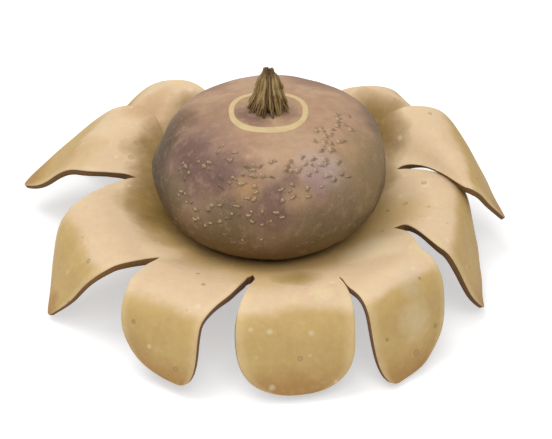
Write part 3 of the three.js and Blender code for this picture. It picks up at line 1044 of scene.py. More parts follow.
@dataclass
class OuterWall:
    """The leathery wall: a cup under the sac, a collar, and ten rays bent down to the ground."""

    FLAT = {"along": 0.0, "across": 0.0, "droop": 0.0}

    slit_radius: float = 21.7
    slit_height: float = 12.4
    collar_slope: float = 20.0
    collar_width: float = 4.3
    collar_thickness: float = 1.25
    tip_thickness: float = 0.65
    crown: float = 0.5
    crown_rate: float = 2.2
    twist_rate: float = 3.0
    rise_length: float = 3.0
    end_share: float = 0.04
    sweep_power: float = 1.6
    gap_length: float = 2.5
    full_droop: float = 60.0
    sway_length: float = 16.0
    sway_depth: float = 0.2
    dent_length: float = 6.0
    dent_depth: float = 0.07
    lift_rate: float = 3.0
    apex_radius: float = 20.0
    apex_tone: float = 0.3
    lip: tuple[tuple[float, float], ...] = ((0.12, 0.006), (0.5, 0.012), (0.88, 0.006))
    cup: tuple[tuple[float, float], ...] = ((0, 5.6), (6, 6.3), (11.5, 8.6))
    underside: tuple[tuple[float, float], ...] = ((3.6, 0), (5, 0.9), (8, 4.2), (12, 7.1))
    columns: int = 30
    crowding: float = 0.11
    rows: int = 80
    row_power: float = 1.5
    cup_rows: int = 33
    underside_rows: int = 30
    curve_points: int = 400
    walk_from: float = -5.0
    walk_steps: int = 800
    rays: tuple[Ray, ...] = (
        Ray(-20, 24, -7, slit=3, length=18.6, half=9.7, rise=12, bend=6, span=10, droop=69, sweep=-5.5,
            belly=0.45, taper=1.8, blunt=0.9, lean=-0.3, free=5, gap=0.12, tone=0.9),
        Ray(24, 52, 22, slit=0.5, length=21.2, half=8.7, rise=58, bend=8, span=15, droop=68, sweep=-4.5,
            belly=0.5, taper=1.6, blunt=1, lean=-0.5, hold=0, free=8, twist=2.4, gap=0.14, tone=0.6),
        Ray(52, 74, 45, length=26, half=6, rise=36, bend=10, span=16, sweep=1, belly=0.3, taper=1.5, blunt=1,
            hold=2, free=11, twist=2.2),
        Ray(74, 106, 90, length=22.5, half=7, rise=40, bend=7, droop=76),
        Ray(106, 136, 126, length=27, half=5.5, rise=38, bend=10, span=19, droop=62, sweep=9, belly=0.3,
            taper=1.8, blunt=0.9, hold=2, free=11, twist=-2.4, gap=0.15),
        Ray(136, 162, 149, length=24.5, rise=31, bend=8.5, span=16, droop=47, sweep=1, taper=1.8, blunt=0.9,
            lean=0.6, twist=-1.8, gap=0.12, tone=0.7),
        Ray(162, 225, 201, slit=1, length=20.5, half=9, rise=35, bend=6, span=17, droop=70, sweep=1.2,
            belly=0.3, taper=1.5, blunt=1, tone=0),
        Ray(225, 263, 240, slit=0.5, length=20, half=6.3, rise=8, bend=9, span=13, droop=78, sweep=2, taper=3,
            blunt=0.45, lean=0.5, free=11, gap=0.1, tone=0.5),
        Ray(263, 296, 277, slit=4, length=20, half=8.3, rise=18, bend=7, span=12, taper=3.5, blunt=0.45,
            free=12, gap=0.1),
        Ray(296, 340, 310, length=22, half=6.9, rise=18, span=10, droop=73, sweep=-1.8, taper=3, blunt=0.5,
            lean=-0.5, free=5, gap=0.1, tone=0.5),
    )

    def __post_init__(self) -> None:
        """Draws the unevenness of the surface."""
        self.sway = Ripple(self.sway_length, seed=3)
        self.dents = Ripple(self.dent_length, seed=8)

    def _spread(self, count: int) -> np.ndarray:
        """Numbers from 0 to 1 that crowd towards both ends, where the rays' edges are."""
        share = np.linspace(0, 1, count)
        return share - self.crowding * np.sin(2 * math.pi * share)

    def _grid(self, ray: Ray, next_slit: float) -> RayGrid:
        """Lays out a ray's mesh points and walks along its middle in small steps.

        Args:
            ray: The ray.
            next_slit: How far inwards the slit on its anticlockwise side begins.

        Returns:
            The grid, whose first row is the root.
        """
        across = 2 * self._spread(self.columns + 1)[None, :] - 1
        root = -(ray.slit * (1 - across) + next_slit * (1 + across)) / 2
        run = (1 - (1 - np.linspace(0, 1, self.rows + 1)) ** self.row_power)[:, None]
        out = root + (ray.length - root) * run

        s = np.linspace(self.walk_from, ray.length, self.walk_steps)
        rising = self.collar_slope + (ray.rise - self.collar_slope) * ease(s / self.rise_length)
        knee = (ray.rise + ray.droop) * ease((s - (ray.bend - ray.span / 2)) / ray.span)
        slope = np.radians(rising - knee)
        walk = []
        for pace in (np.cos(slope), np.sin(slope)):
            total = np.concatenate([[0], np.cumsum((pace[1:] + pace[:-1]) / 2 * (s[1] - s[0]))])
            walk.append(np.interp(out, s, total - np.interp(0, s, total)))
        return RayGrid(across=np.broadcast_to(across, out.shape), out=out, from_slit=out - root,
                       share=np.clip(out / ray.length, 0, 1), radius=self.slit_radius + walk[0],
                       height=self.slit_height + walk[1], slope=np.interp(out, s, slope))

    def _points(self, ray: Ray, grid: RayGrid, depth: Numbers, wider: float = 1.0) -> np.ndarray:
        """Points of a ray.

        Args:
            ray: The ray.
            grid: Its layout.
            depth: Depth under the smooth upper face.
            wider: Factor on the distance from the middle.

        Returns:
            The points, rows by columns by x, y and z.
        """
        share, across = grid.share, grid.across * wider
        middle = math.radians((ray.start + ray.stop) / 2)
        half_sector = math.radians((ray.stop - ray.start) / 2)
        t = np.clip((share - ray.belly) / (1 - ray.belly), 0, 1)
        full = self.end_share + (1 - self.end_share) * (1 - t**ray.taper) ** ray.blunt
        tilt = ray.twist * across * ease(self.twist_rate * share)
        above = full * (tilt - self.crown * across**2 * ease(self.crown_rate * share)) - depth
        along = grid.radius - np.sin(grid.slope) * above
        height = grid.height + np.cos(grid.slope) * above
        angle = middle + across * half_sector * (1 - ray.gap * ease(grid.from_slit / self.gap_length))
        in_sector = polar(along, angle, height)
        aside = ray.half * (across * full + ray.lean * (1 - full)) + ray.sweep * share**self.sweep_power
        c, s = math.cos(math.radians(ray.axis)), math.sin(math.radians(ray.axis))
        on_axis = np.stack([along * c - aside * s, along * s + aside * c, height], axis=-1)
        freed = ease((grid.out - ray.hold) / (ray.free - ray.hold))[..., None]
        return in_sector * (1 - freed) + on_axis * freed

    def _relief(self, points: np.ndarray, share: np.ndarray) -> np.ndarray:
        """How far the uneven surface lifts its points, by their share of the ray's length."""
        lift = self.sway_depth * self.sway(points) + self.dent_depth * self.dents(points)
        return ease(share * self.lift_rate) * lift

    def build(self, materials: Sequence[Material]) -> Piece:
        """Builds the whole wall as one closed mesh.

        Args:
            materials: Upper, cut and under materials.

        Returns:
            The object.
        """
        parts = MeshParts()
        share = self._spread(self.columns + 1)[:-1]
        azimuth = np.concatenate([np.radians(r.start + (r.stop - r.start) * share) for r in self.rays])
        nexts = self.rays[1:] + self.rays[:1]
        inset = np.concatenate([r.slit + (n.slit - r.slit) * share for r, n in zip(self.rays, nexts)])
        slope = math.radians(self.collar_slope)
        edge = self.slit_radius - inset * math.cos(slope)
        outwards = self.collar_thickness * math.sin(slope)
        top_ring = self._lathe(parts, Face.UPPER, edge, azimuth)
        under_ring = self._lathe(parts, Face.UNDER, edge + outwards, azimuth)
        for i, (ray, following) in enumerate(zip(self.rays, nexts)):
            picked = np.arange(i * self.columns, (i + 1) * self.columns + 1) % len(azimuth)
            self._add_ray(parts, ray, following.slit, top_ring[picked], under_ring[picked])
        return parts.build("star_wall", materials)

    def _collar(self, depth: float) -> tuple[tuple[float, float], ...]:
        """The straight collar in section.

        Args:
            depth: Depth under the upper face.

        Returns:
            Radius and height of its inner and its outer end.
        """
        slope = math.radians(self.collar_slope)
        radius = self.slit_radius + depth * math.sin(slope)
        height = self.slit_height - depth * math.cos(slope)
        return (radius - self.collar_width, height - self.collar_width * math.tan(slope)), (radius, height)

    def _lathe(self, parts: MeshParts, face: Face, edge: np.ndarray, azimuth: np.ndarray) -> np.ndarray:
        """Adds the undivided part of one face, from the axis out to the slits.

        Args:
            parts: The mesh so far.
            face: Upper or under.
            edge: Radius of the outer edge, one for each column.
            azimuth: Angles of the columns.

        Returns:
            Vertex numbers along the outer edge.
        """
        if face is Face.UPPER:
            pairs = (*self.cup, *self._collar(0.0))
            share = np.linspace(0, 1, self.cup_rows)[1:, None]
        else:
            pairs = (*self.underside, *self._collar(self.collar_thickness))
            share = np.linspace(0, 1, self.underside_rows)[:, None]
        curve = spline(pairs, self.curve_points)
        radius = curve[0, 0] + (edge[None, :] - curve[0, 0]) * share
        points = polar(radius, azimuth[None, :], np.interp(radius, curve[:, 0], curve[:, 1]))
        grid = closed(parts.add_points(points, radius=radius, tone=0.0, **self.FLAT))
        centre = parts.add_point((0, 0, curve[0, 1]), radius=0.0, tone=0.0, **self.FLAT)
        parts.add_fan(centre, grid[0], face.value, flipped=face is Face.UNDER)
        parts.add_strip(grid, face.value, flipped=face is Face.UNDER)
        return grid[-1, :-1]

    def _add_ray(self, parts: MeshParts, ray: Ray, next_slit: float, top_ring: np.ndarray,
                 under_ring: np.ndarray) -> None:
        """Adds one ray, joined to the collar.

        Args:
            parts: The mesh so far.
            ray: The ray.
            next_slit: How far inwards the slit on its anticlockwise side begins.
            top_ring: Vertex numbers along its root on the upper face.
            under_ring: The same on the lower face.
        """
        grid = self._grid(ray, next_slit).part(slice(1, None))
        thickness = self.collar_thickness + (self.tip_thickness - self.collar_thickness) * grid.share
        lift = self._relief(self._points(ray, grid, 0.0), grid.share)
        values = {"along": grid.share, "across": grid.across, "radius": grid.radius,
                  "droop": np.clip(-grid.slope / math.radians(self.full_droop), 0, 1)}
        top = parts.add_points(self._points(ray, grid, -lift), tone=ray.tone, **values)
        lower = parts.add_points(self._points(ray, grid, thickness - lift), tone=ray.tone, **values)
        parts.add_strip(np.vstack([top_ring, top]), Face.UPPER.value)
        parts.add_strip(np.vstack([under_ring, lower]), Face.UNDER.value, flipped=True)

        # The cut sides: a thin lip of the upper skin, then the brown face, bulging a little.
        for column in (0, -1):
            side = grid.part(slice(None), slice(column, column + 1 or None))
            edge_values = {key: rows[:, column] for key, rows in values.items()}
            layers = [np.append(top_ring[column], top[:, column])]
            for down, bulge in self.lip:
                depth = (thickness * down - lift)[:, [column]]
                points = self._points(ray, side, depth, 1 + bulge)[:, 0]
                row = parts.add_points(points, tone=ray.tone, **edge_values)
                apex = self._add_apex(parts, top_ring[column], under_ring[column], down)
                layers.append(np.append(apex, row))
            layers.append(np.append(under_ring[column], lower[:, column]))
            for number, pair in enumerate(zip(layers, layers[1:])):
                slot = Face.CUT.value if number else Face.UPPER.value
                parts.add_strip(np.stack(pair, axis=1), slot, flipped=column == 0)
        parts.add_strip(np.stack([top[-1], lower[-1]]), Face.CUT.value)

    def _add_apex(self, parts: MeshParts, upper: int, lower: int, down: float) -> int:
        """Adds a vertex at a share of the way down the short line at the inner end of a slit."""
        place = parts.point(upper) * (1 - down) + parts.point(lower) * down
        return parts.add_point(place, radius=self.apex_radius, tone=self.apex_tone, **self.FLAT)


# --------------------------------------------------------------------------------------------- spore sac


@dataclass(frozen=True)
class Scatter:
    """A loose group of grains: middle and spread in degrees round the sac and up it, and how many to try."""

    azimuth: float
    elevation: float
    wide: float
    tall: float
    count: int


@dataclass(frozen=True)
class Grain:
    """How the small pale grains are drawn and shaped, in millimetres: each is a mound with a low skirt."""

    apart: float = 0.75
    wide: tuple[float, float] = (0.2, 0.46)
    tall: tuple[float, float] = (0.16, 0.3)
    rise: tuple[float, float] = (0.09, 0.18)
    lean: tuple[float, float] = (-0.5, 0.5)
    phase: tuple[float, float] = (0.0, 6.3)
    faint_share: float = 0.3
    faint: float = 0.25
    longer: float = 0.6
    long_from: float = 20.0
    long_over: float = 15.0
    sides: int = 20
    rings: tuple[float, ...] = (0.22, 0.45, 0.68, 0.86, 1.02, 1.25, 1.6, 2.05)
    lobes: tuple[tuple[int, float], ...] = ((2, 0.18), (3, 0.2), (5, 0.12))
    slant: float = 0.6
    profile: float = 2.4
    crown: float = 0.7
    facets: float = 0.2
    proud: float = 0.012
    tuck: float = 0.05
    tuck_from: float = 1.7
    tuck_over: float = 0.3
    crest_end: float = 1.04
    crest_over: float = 0.3
    shade_turn: float = 0.5
    peak_stain: float = 0.3
    faint_peak: float = 0.2


@dataclass
class SporeSac:
    """The round sac, its grains and the ring round its mouth."""

    radius: float = 17.25
    equator: float = 17.8
    up: float = 9.85
    down: float = 11.8
    up_power: float = 3.3
    down_power: float = 2.0
    shoulder_azimuth: float = 182.0
    shoulder_depth: float = 1.2
    shoulder_radius: float = 6.0
    sway_length: float = 14.0
    sway_depth: float = 0.1
    dent_length: float = 5.0
    dent_depth: float = 0.035
    calm_radius: float = 5.0
    calm_width: float = 4.0
    ring_radius: float = 5.5
    ring_half_width: float = 0.42
    ring_front_extra: float = 0.34
    ring_squareness: float = 2.35
    ring_trim: float = 0.98
    ring_sway: float = 0.008
    ring_swell: float = 0.05
    ring_flatness: float = 0.6
    ring_height: float = 0.1
    ring_roundness: float = 0.8
    ring_shift: tuple[float, float] = (-0.05, -0.3)
    ring_segments: int = 240
    ring_sides: int = 24
    mouth_depth: float = 0.1
    segments: int = 300
    rows: int = 150
    seed: int = 11
    grain: Grain = Grain()
    grains: tuple[Scatter, ...] = (
        Scatter(338, 42, 22, 7, 14),
        Scatter(318, 39, 10, 5, 10),
        Scatter(306, 26, 10, 7, 17),
        Scatter(288, 31, 9, 5, 16),
        Scatter(264, 31, 9, 5, 12),
        Scatter(240, 36, 9, 6, 5),
        Scatter(231, 28, 7, 4, 5),
        Scatter(221, 20, 7, 4, 9),
        Scatter(246, 23, 6, 4, 7),
        Scatter(262, 20, 8, 4, 8),
        Scatter(282, 20, 8, 4, 8),
        Scatter(226, 8, 7, 4, 9),
        Scatter(248, 9, 9, 4, 9),
        Scatter(268, 7, 9, 4, 13),
        Scatter(240, 0, 8, 3, 5),
        Scatter(258, -6, 10, 3, 7),
        Scatter(25, 4, 20, 9, 14),
        Scatter(65, 8, 22, 9, 20),
        Scatter(115, 6, 24, 10, 20),
        Scatter(155, 4, 16, 9, 12),
    )

    def __post_init__(self) -> None:
        """Draws the unevenness of the skin."""
        self.sway = Ripple(self.sway_length, seed=21)
        self.dents = Ripple(self.dent_length, seed=22)

    def top(self, radius: Numbers) -> Numbers:
        """Height of the upper face at a distance from the axis."""
        share = np.clip(np.asarray(radius) / self.radius, 0, 1)
        return self.equator + self.up * (1 - share**self.up_power) ** (1 / self.up_power)

    def point(self, azimuth: Numbers, elevation: Numbers) -> np.ndarray:
        """Points of the smooth sac.

        Args:
            azimuth: Angle round the axis in radians.
            elevation: Angle above the horizontal in radians, seen from the middle of the widest circle.

        Returns:
            An array whose last axis is x, y and z.
        """
        rising = np.asarray(elevation) >= 0
        power = np.where(rising, self.up_power, self.down_power)
        across = np.abs(np.cos(elevation)) / self.radius
        along = np.abs(np.sin(elevation)) / np.where(rising, self.up, self.down)
        reach = (across**power + along**power) ** (-1 / power)
        return polar(reach * np.cos(elevation), azimuth, self.equator + reach * np.sin(elevation))

    def _relief(self, points: np.ndarray) -> np.ndarray:
        """Moves points of the smooth sac in and out a little, and presses in its left shoulder.

        Args:
            points: Points on the smooth sac.

        Returns:
            The moved points.
        """
        outwards = unit(points - np.array([0.0, 0.0, self.equator]))
        lift = self.sway_depth * self.sway(points) + self.dent_depth * self.dents(points)
        radius = np.hypot(points[..., 0], points[..., 1])
        calm = ease((radius - self.calm_radius) / self.calm_width)
        shoulder = polar(1.0, math.radians(self.shoulder_azimuth), 0.0)
        facing = np.clip(points @ shoulder / np.maximum(radius, 1), 0, 1)
        up = np.clip((points[..., 2] - self.equator) / self.up, 0, 1)
        swell = np.sin(math.pi * up * radius / self.radius) ** 2 * ease(radius / self.shoulder_radius - 1)
        lift = lift * calm - self.shoulder_depth * facing**2 * swell
        return points + outwards * lift[..., None]

    def build_sac(self, material: Material) -> Piece:
        """Builds the sac's skin as one closed mesh.

        Args:
            material: The skin.

        Returns:
            The object.
        """
        parts = MeshParts()
        elevation = np.linspace(-math.pi / 2, math.pi / 2, self.rows + 2)[1:-1, None]
        points = self._relief(self.point(turns(self.segments)[None, :], elevation))
        grid = closed(parts.add_points(points))
        low = parts.add_point((0, 0, self.equator - self.down))
        high = parts.add_point((0, 0, self.equator + self.up))
        parts.add_tube(grid, low, high, flipped=True)
        return parts.build("sac_skin", [material])

    def build_ring(self, material: Material) -> Piece:
        """Builds the ring round the mouth: a low band let into the skin, wider in front and a little squared.

        Args:
            material: The ring's finish.

        Returns:
            The object.
        """
        parts = MeshParts()
        azimuth = turns(self.ring_segments)
        turn = turns(self.ring_sides)[:, None]
        n = self.ring_squareness
        square = (np.abs(np.cos(azimuth)) ** n + np.abs(np.sin(azimuth)) ** n) ** (-1 / n)
        front = np.clip(-np.sin(azimuth), 0, 1) ** 2
        width = self.ring_half_width + self.ring_front_extra * front
        width = width * (1 + self.ring_swell * np.sin(5 * azimuth + 1))
        middle = self.ring_radius * (self.ring_trim * square + self.ring_sway * np.sin(3 * azimuth))
        middle = middle - 0.5 * self.ring_front_extra * front
        radius = middle + fuller(np.cos(turn), self.ring_flatness) * width
        place = polar(radius, azimuth, 0.0) + np.array([*self.ring_shift, 0.0])
        under = self.top(np.hypot(place[..., 0], place[..., 1]))
        place[..., 2] = under + self.ring_height * fuller(np.sin(turn), self.ring_roundness)
        grid = parts.add_points(place)
        parts.add_strip(closed(np.vstack([grid, grid[:1]])))
        return parts.build("mouth_ring", [material])

    def build_grains(self, material: Material) -> Piece:
        """Builds the small pale grains on the skin.

        Args:
            material: The sac's skin, which colours the mounds by their pale crests with a painted highlight
                and by the painted shadow on their skirts.

        Returns:
            The object.
        """
        parts = MeshParts()
        rng = np.random.default_rng(self.seed)
        for azimuth, elevation in self._grain_places(rng):
            self._add_grain(parts, rng, azimuth, elevation)
        return parts.build("sac_grains", [material])

    def _grain_places(self, rng: np.random.Generator) -> list[tuple[float, float]]:
        """Draws where the grains sit, kept apart from each other.

        Args:
            rng: The random draws.

        Returns:
            Azimuth and elevation of each grain, in radians.
        """
        places: list[tuple[float, float]] = []
        spots: list[np.ndarray] = []
        for group in self.grains:
            for _ in range(group.count):
                azimuth = math.radians(group.azimuth + group.wide * rng.uniform(-1, 1))
                elevation = math.radians(group.elevation + group.tall * rng.uniform(-1, 1))
                spot = self.point(azimuth, elevation)
                if all(np.linalg.norm(spot - other) > self.grain.apart for other in spots):
                    places.append((azimuth, elevation))
                    spots.append(spot)
        return places

    def _add_grain(self, parts: MeshParts, rng: np.random.Generator, azimuth: float, elevation: float
                   ) -> None:
        """Adds one grain, whose skirt runs into the skin.

        Args:
            parts: The mesh so far.
            rng: The random draws.
            azimuth: Where it sits, in radians.
            elevation: Angle above the horizontal, in radians.
        """
        grain = self.grain
        spot = self.point(azimuth, elevation)
        upwards = unit(self.point(azimuth, elevation + 0.01) - self.point(azimuth, elevation - 0.01))
        sideways = np.array([-math.sin(azimuth), math.cos(azimuth), 0.0])
        outwards = np.cross(sideways, upwards)

        faint = rng.uniform(0, 1) < grain.faint_share
        sizes = (grain.wide, grain.tall, grain.rise, grain.lean)
        wide, tall, rise, lean = (rng.uniform(*ends) for ends in sizes)
        tall *= 1 + grain.longer * float(ease((math.degrees(elevation) - grain.long_from) / grain.long_over))
        turn = turns(grain.sides)
        shares = np.array(grain.rings)[:, None]
        ragged = np.ones(grain.sides)
        for lobes, size in grain.lobes:
            ragged = ragged + size * np.sin(lobes * turn + rng.uniform(*grain.phase))
        side = wide * shares * ragged * np.cos(turn)
        up = tall * shares * ragged * np.sin(turn) + grain.slant * lean * side
        mound = rise * np.clip(1 - shares**grain.profile, 0, 1) ** grain.crown
        mound = mound * (1 + grain.facets * np.sin(4 * turn + 1))
        mound = mound - grain.tuck * ease((shares - grain.tuck_from) / grain.tuck_over)
        points = self._relief(spot + side[..., None] * sideways + up[..., None] * upwards)

        # Painted shadow and highlight: the skirt is darkest under the grain and the crest palest above it, as
        # if lit from above.
        above = np.sin(turn - grain.shade_turn)
        under = ease(grain.rings[-1] - shares) * np.clip(0.62 - 0.55 * above, 0.08, 1)
        crest = ease((grain.crest_end - shares) / grain.crest_over) * np.clip(0.85 + 0.3 * above, 0, 1)
        grid = closed(parts.add_points(points + (mound + grain.proud)[..., None] * outwards,
                                       crest=crest * (grain.faint if faint else 1.0), stain=under))
        peak = self._relief(spot) + (rise + grain.proud) * outwards
        top = parts.add_point(peak, crest=grain.faint_peak if faint else 1.0, stain=grain.peak_stain)
        parts.add_strip(grid, flipped=True)
        parts.add_fan(top, grid[0])


# --------------------------------------------------------------------------------------------- peristome


@dataclass
class Peristome:
    """The cone of stiff fibres round the mouth, in clumps over a core coloured dark as painted shade between
    them, with two dark horns on top.
    """

    foot: float
    base_radius: float = 2.75
    shoulder_radius: float = 1.0
    height: float = 7.0
    bulge: float = 0.9
    shift: tuple[float, float] = (0.0, 0.5)
    horn_side: float = 0.4
    horn_offset: float = 0.42
    horn_reach: tuple[float, float] = (0.94, 1.0)
    plain_reach: tuple[float, float] = (0.84, 0.92)
    right_shorter: float = 0.02
    clumps: int = 42
    strands: int = 5
    layers: tuple[tuple[float, float], ...] = ((-0.12, -0.02), (0.22, 0.5), (0.02, 0.2))
    thickness: tuple[float, float] = (0.1, 0.19)
    flatness: float = 0.8
    core_foot: float = 0.5
    core_depth: float = 0.25
    core_top: float = 0.86
    core_peak: float = 0.8
    core_segments: int = 48
    core_rows: int = 14
    core_flutes: float = 0.05
    core_shade_tone: float = 0.05
    scatter: float = 0.3
    fray: float = 0.1
    gathering: float = 0.6
    wave_depth: float = 0.035
    wave_count: tuple[float, float] = (5.0, 11.0)
    splay: tuple[float, float] = (-0.2, 0.5)
    sit: tuple[float, float] = (-0.2, 0.14)
    pull: float = 0.85
    pull_from: float = 0.72
    pull_over: float = 0.26
    sides: int = 6
    steps: int = 18
    seed: int = 5

    def _cone(self, rise: np.ndarray) -> np.ndarray:
        """The cone's radius at a share of its height."""
        up = np.clip(rise, 0, 1) ** self.bulge
        return self.base_radius + (self.shoulder_radius - self.base_radius) * up

    def _lean(self, points: np.ndarray) -> np.ndarray:
        """Moves points from round the Z axis to where the cone stands, a little less at its top."""
        up = np.clip((points[..., 2] - self.foot) / self.height, 0, 1)
        return points + np.stack([self.shift[0] + 0 * up, self.shift[1] * (1 - 0.5 * up), 0 * up], axis=-1)

    def build(self, material: Material) -> Piece:
        """Builds the core and the fibres as one object.

        Args:
            material: The fibres' finish.

        Returns:
            The object.
        """
        parts = MeshParts()
        self._add_core(parts)
        rng = np.random.default_rng(self.seed)
        for clump in range(self.clumps):
            azimuth = 2 * math.pi * (clump + rng.uniform(-self.scatter, self.scatter)) / self.clumps
            low = rng.uniform(*self.layers[clump % len(self.layers)])
            tone = rng.uniform(0, 1)
            for _ in range(self.strands):
                self._add_strand(parts, rng, azimuth, low, tone)
        return parts.build("mouth_cone", [material])

    def _add_core(self, parts: MeshParts) -> None:
        """Adds the closed core under the fibres, coloured dark as painted shade in the gaps between them.

        Args:
            parts: The mesh so far.
        """
        azimuth = turns(self.core_segments)
        rise = np.linspace(0, self.core_top, self.core_rows)[:, None]
        narrowing = 1 - (1 - self.core_foot) * ease(1 - rise / 0.4)
        radius = (self._cone(rise) - self.core_depth) * narrowing
        radius = radius * (1 + self.core_flutes * np.cos(13 * azimuth))
        points = self._lean(polar(radius, azimuth, self.foot + rise * self.height))
        grid = closed(parts.add_points(points, tone=self.core_shade_tone, rise=rise))
        peak = self.foot + self.core_peak * self.height
        low, high = self._lean(np.array([[0, 0, self.foot], [0, 0, peak]]))
        start = parts.add_point(low, tone=0.0, rise=0.0)
        end = parts.add_point(high, tone=0.0, rise=1.0)
        parts.add_tube(grid, start, end, flipped=True)

    def _path(self, rng: np.random.Generator, azimuth: float, low: float) -> tuple[np.ndarray, np.ndarray]:
        """Draws the middle line of one fibre.

        Args:
            rng: The random draws.
            azimuth: Where its clump stands, in radians.
            low: Share of the height where the clump ends below.

        Returns:
            The line's points, and the share of the cone's height at each.
        """
        away = rng.normal() * math.pi / self.clumps
        side = math.cos(azimuth + away)
        horn = abs(side) > self.horn_side
        high = rng.uniform(*(self.horn_reach if horn else self.plain_reach))
        if horn and side > 0:
            high -= self.right_shorter
        rise = np.linspace(low + rng.uniform(0, self.fray), high, self.steps)
        share = np.linspace(0, 1, self.steps)
        gathered = 1 - self.gathering * ease(1 - share / 0.3)
        waves = np.sin(share * rng.uniform(*self.wave_count) + rng.uniform(0, 6.3))
        wave = self.wave_depth * waves * ease(share * 3)
        splay = rng.uniform(*self.splay) * ease(1 - share / 0.4)
        radius = self._cone(rise) + rng.uniform(*self.sit) + splay
        line = polar(radius, azimuth + away * gathered + wave, self.foot + rise * self.height)
        if horn:
            tip = np.array([math.copysign(self.horn_offset, side) + rng.normal() * 0.1, rng.normal() * 0.16])
            pull = self.pull * ease((rise - self.pull_from) / self.pull_over)[:, None]
            line[:, :2] = line[:, :2] * (1 - pull) + tip * pull
        return self._lean(line), rise

    def _add_strand(self, parts: MeshParts, rng: np.random.Generator, azimuth: float, low: float,
                    clump_tone: float) -> None:
        """Adds one fibre, from its end by the foot up to the mouth.

        Args:
            parts: The mesh so far.
            rng: The random draws.
            azimuth: Where its clump stands, in radians.
            low: Share of the height where the clump ends below.
            clump_tone: Colour of the clump, from 0 dark to 1 straw.
        """
        line, rise = self._path(rng, azimuth, low)
        share = np.linspace(0, 1, self.steps)
        taper = np.sqrt(np.clip(share * 6, 0.1, 1) * np.clip((1 - share) * 5, 0.35, 1))
        thick = (rng.uniform(*self.thickness) * taper)[:, None, None]
        turn = turns(self.sides)[:, None]
        ahead = unit(np.gradient(line, axis=0))
        aside = unit(np.cross(ahead, polar(1.0, azimuth, 0.0)))
        outwards = self.flatness * np.cross(aside, ahead)
        points = line[:, None] + thick * (np.cos(turn) * aside[:, None] + np.sin(turn) * outwards[:, None])
        tone = float(np.clip(0.55 * clump_tone + 0.6 * rng.uniform(0, 1) - 0.08, 0, 1))
        grid = closed(parts.add_points(points, tone=tone, rise=rise[:, None]))
        start = parts.add_point(line[0] - 0.08 * ahead[0], tone=tone, rise=rise[0])
        end = parts.add_point(line[-1] + 0.1 * ahead[-1], tone=tone, rise=rise[-1])
        parts.add_tube(grid, start, end)


# ------------------------------------------------------------------------------------------------- stage


@dataclass(frozen=True)
class Lamp:
    """A big soft lamp: its place in metres and its power in watts."""

    name: str
    place: tuple[float, float, float]
    power: float


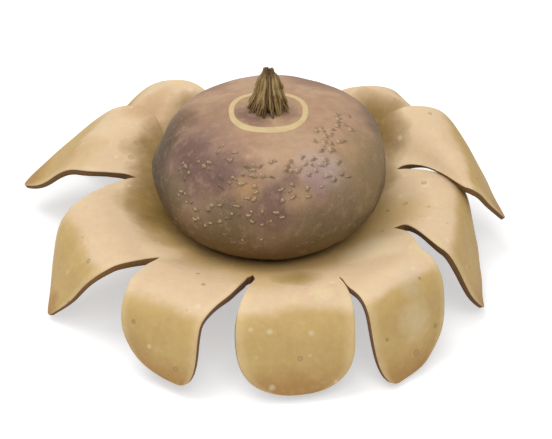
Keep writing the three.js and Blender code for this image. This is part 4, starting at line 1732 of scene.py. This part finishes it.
@dataclass
class Studio:
    """Floor, light, sky and camera."""

    elevation: float = 33.0
    distance: float = 300.0
    view_width: float = 82.8
    film_width: float = 36.0
    aim: tuple[float, float, float] = (1.05, 0.0, 12.0)
    aim_drop: float = 2.8
    sky: float = 0.5
    sky_colour: tuple[float, ...] = (1.0, 0.99, 0.97, 1.0)
    floor_reach: float = 6.0
    floor_grey: tuple[float, ...] = (0.75, 0.75, 0.75, 1.0)
    floor_glow: float = 0.48
    white_from: float = 0.07
    white_past: float = 0.2
    lamp_size: float = 0.35
    lamps: tuple[Lamp, ...] = (Lamp("key", (-0.16, 0.02, 0.5), 1.0), Lamp("fill", (0.03, -0.3, 0.42), 0.75))

    def build(self) -> None:
        """Makes everything round the object."""
        self._floor()
        self._sky()
        self._lamps()
        self._camera()

    @staticmethod
    def _seen(nodes: Nodes) -> Socket:
        """A mask of the rays that show the background: from the camera, in gloss and through glass.

        Args:
            nodes: The tree's nodes.

        Returns:
            The mask's socket, 0 or 1.
        """
        path = nodes.add("LightPath").outputs
        seen = nodes.math("MAXIMUM", path["Is Camera Ray"], path["Is Glossy Ray"])
        return nodes.math("MAXIMUM", seen, path["Is Transmission Ray"])

    @staticmethod
    def _pick(nodes: Nodes, mask: Socket, plain: Socket, other: Socket) -> Socket:
        """One shader where a mask is 0 and another where it is 1.

        Args:
            nodes: The tree's nodes.
            mask: From 0 to 1.
            plain: The shader where it is 0.
            other: The shader where it is 1.

        Returns:
            The mixed shader's socket.
        """
        mix = nodes.add("MixShader")
        for target, source in zip(mix.inputs, (mask, plain, other)):
            nodes.feed(target, source)
        return mix.outputs[0]

    def _floor(self) -> None:
        """A wide pale floor that keeps the object's shadow and is seen plain white further out."""
        r = self.floor_reach
        mesh = bpy.data.meshes.new("floor")
        mesh.from_pydata([(-r, -r, 0), (r, -r, 0), (r, r, 0), (-r, r, 0)], [], [(0, 1, 2, 3)])
        material = bpy.data.materials.new("floor_white")
        material.use_nodes = True
        tree = material.node_tree
        nodes = Nodes(tree)
        seen = self._seen(nodes)
        grey = nodes.fill(tree.nodes["Principled BSDF"], Base_Color=self.floor_grey, Roughness=1.0,
                          Specular_IOR_Level=0.0)
        glow = nodes.fill(nodes.add("Emission"), Strength=nodes.times(seen, self.floor_glow))
        both = nodes.add("AddShader")
        nodes.feed(both.inputs[0], grey[0])
        nodes.feed(both.inputs[1], glow[0])
        away = nodes.add("VectorMath", operation="LENGTH")
        nodes.feed(away.inputs[0], nodes.place())
        far = nodes.times(nodes.step(away.outputs["Value"], self.white_from, self.white_past), seen)
        white = nodes.add("Emission").outputs[0]
        nodes.fill(tree.nodes["Material Output"], Surface=self._pick(nodes, far, both.outputs[0], white))
        mesh.materials.append(material)
        add_object("floor", mesh)

    def _sky(self) -> None:
        """An even sky that lights the object, white where it is seen."""
        world = bpy.data.worlds.new("studio")
        bpy.context.scene.world = world
        world.use_nodes = True
        tree = world.node_tree
        nodes = Nodes(tree)
        light = nodes.fill(tree.nodes["Background"], Color=self.sky_colour, Strength=self.sky)[0]
        white = nodes.fill(nodes.add("Background"), Color=(1.0, 1.0, 1.0, 1.0), Strength=1.0)[0]
        nodes.fill(tree.nodes["World Output"], Surface=self._pick(nodes, self._seen(nodes), light, white))

    def _lamps(self) -> None:
        """The key lamp above on the left and the fill lamp above in front."""
        for lamp in self.lamps:
            data = bpy.data.lights.new(lamp.name, "AREA")
            data.shape = "DISK"
            data.size = self.lamp_size
            data.energy = lamp.power
            piece = add_object(lamp.name, data)
            piece.location = lamp.place
            piece.rotation_mode = "QUATERNION"
            piece.rotation_quaternion = (-piece.location).to_track_quat("-Z", "Y")

    def _camera(self) -> None:
        """The camera, looking down at the star from the front."""
        tilt = math.radians(self.elevation)
        ahead = Vector((0, math.cos(tilt), -math.sin(tilt)))
        up = Vector((0, math.sin(tilt), math.cos(tilt)))
        target = Vector(self.aim) * MM - up * self.aim_drop * MM
        data = bpy.data.cameras.new("camera")
        data.sensor_width = self.film_width
        data.lens = self.distance * self.film_width / self.view_width
        data.clip_start = 0.01
        camera = add_object("camera", data)
        camera.location = target - ahead * self.distance * MM
        camera.rotation_mode = "QUATERNION"
        camera.rotation_quaternion = ahead.to_track_quat("-Z", "Y")
        bpy.context.scene.camera = camera


# -------------------------------------------------------------------------------------------------- main


def carry(piece: Piece, node: str | None = None) -> None:
    """Ties a piece to the frame and reports it.

    Args:
        piece: The piece.
        node: The CAD node it stands for, if any.
    """
    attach(piece, BODY)
    if node:
        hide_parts(node)
    log.info("%s: %d faces", piece.name, len(piece.data.polygons))


def main() -> None:
    """Builds the earthstar and its studio."""
    logging.basicConfig(level=logging.INFO, format="%(name)s: %(message)s")
    bpy.context.scene.view_settings.view_transform = "Standard"
    effects = Effects()

    wall = OuterWall()
    skins = [UpperSkin(effects).material(), CutEdge(effects).material(), Underside(effects).material()]
    carry(wall.build(skins), "exoperidium")

    sac = SporeSac()
    skin = SacSkin(effects).material(sac)
    carry(sac.build_sac(skin), "spore_sac")
    carry(sac.build_grains(skin))
    carry(sac.build_ring(RingSkin(effects).material()))

    mouth = Peristome(foot=float(sac.top(0)) - sac.mouth_depth)
    carry(mouth.build(FibreSkin(effects).material()), "peristome")

    Studio().build()


if __name__ == "__main__":
    main()
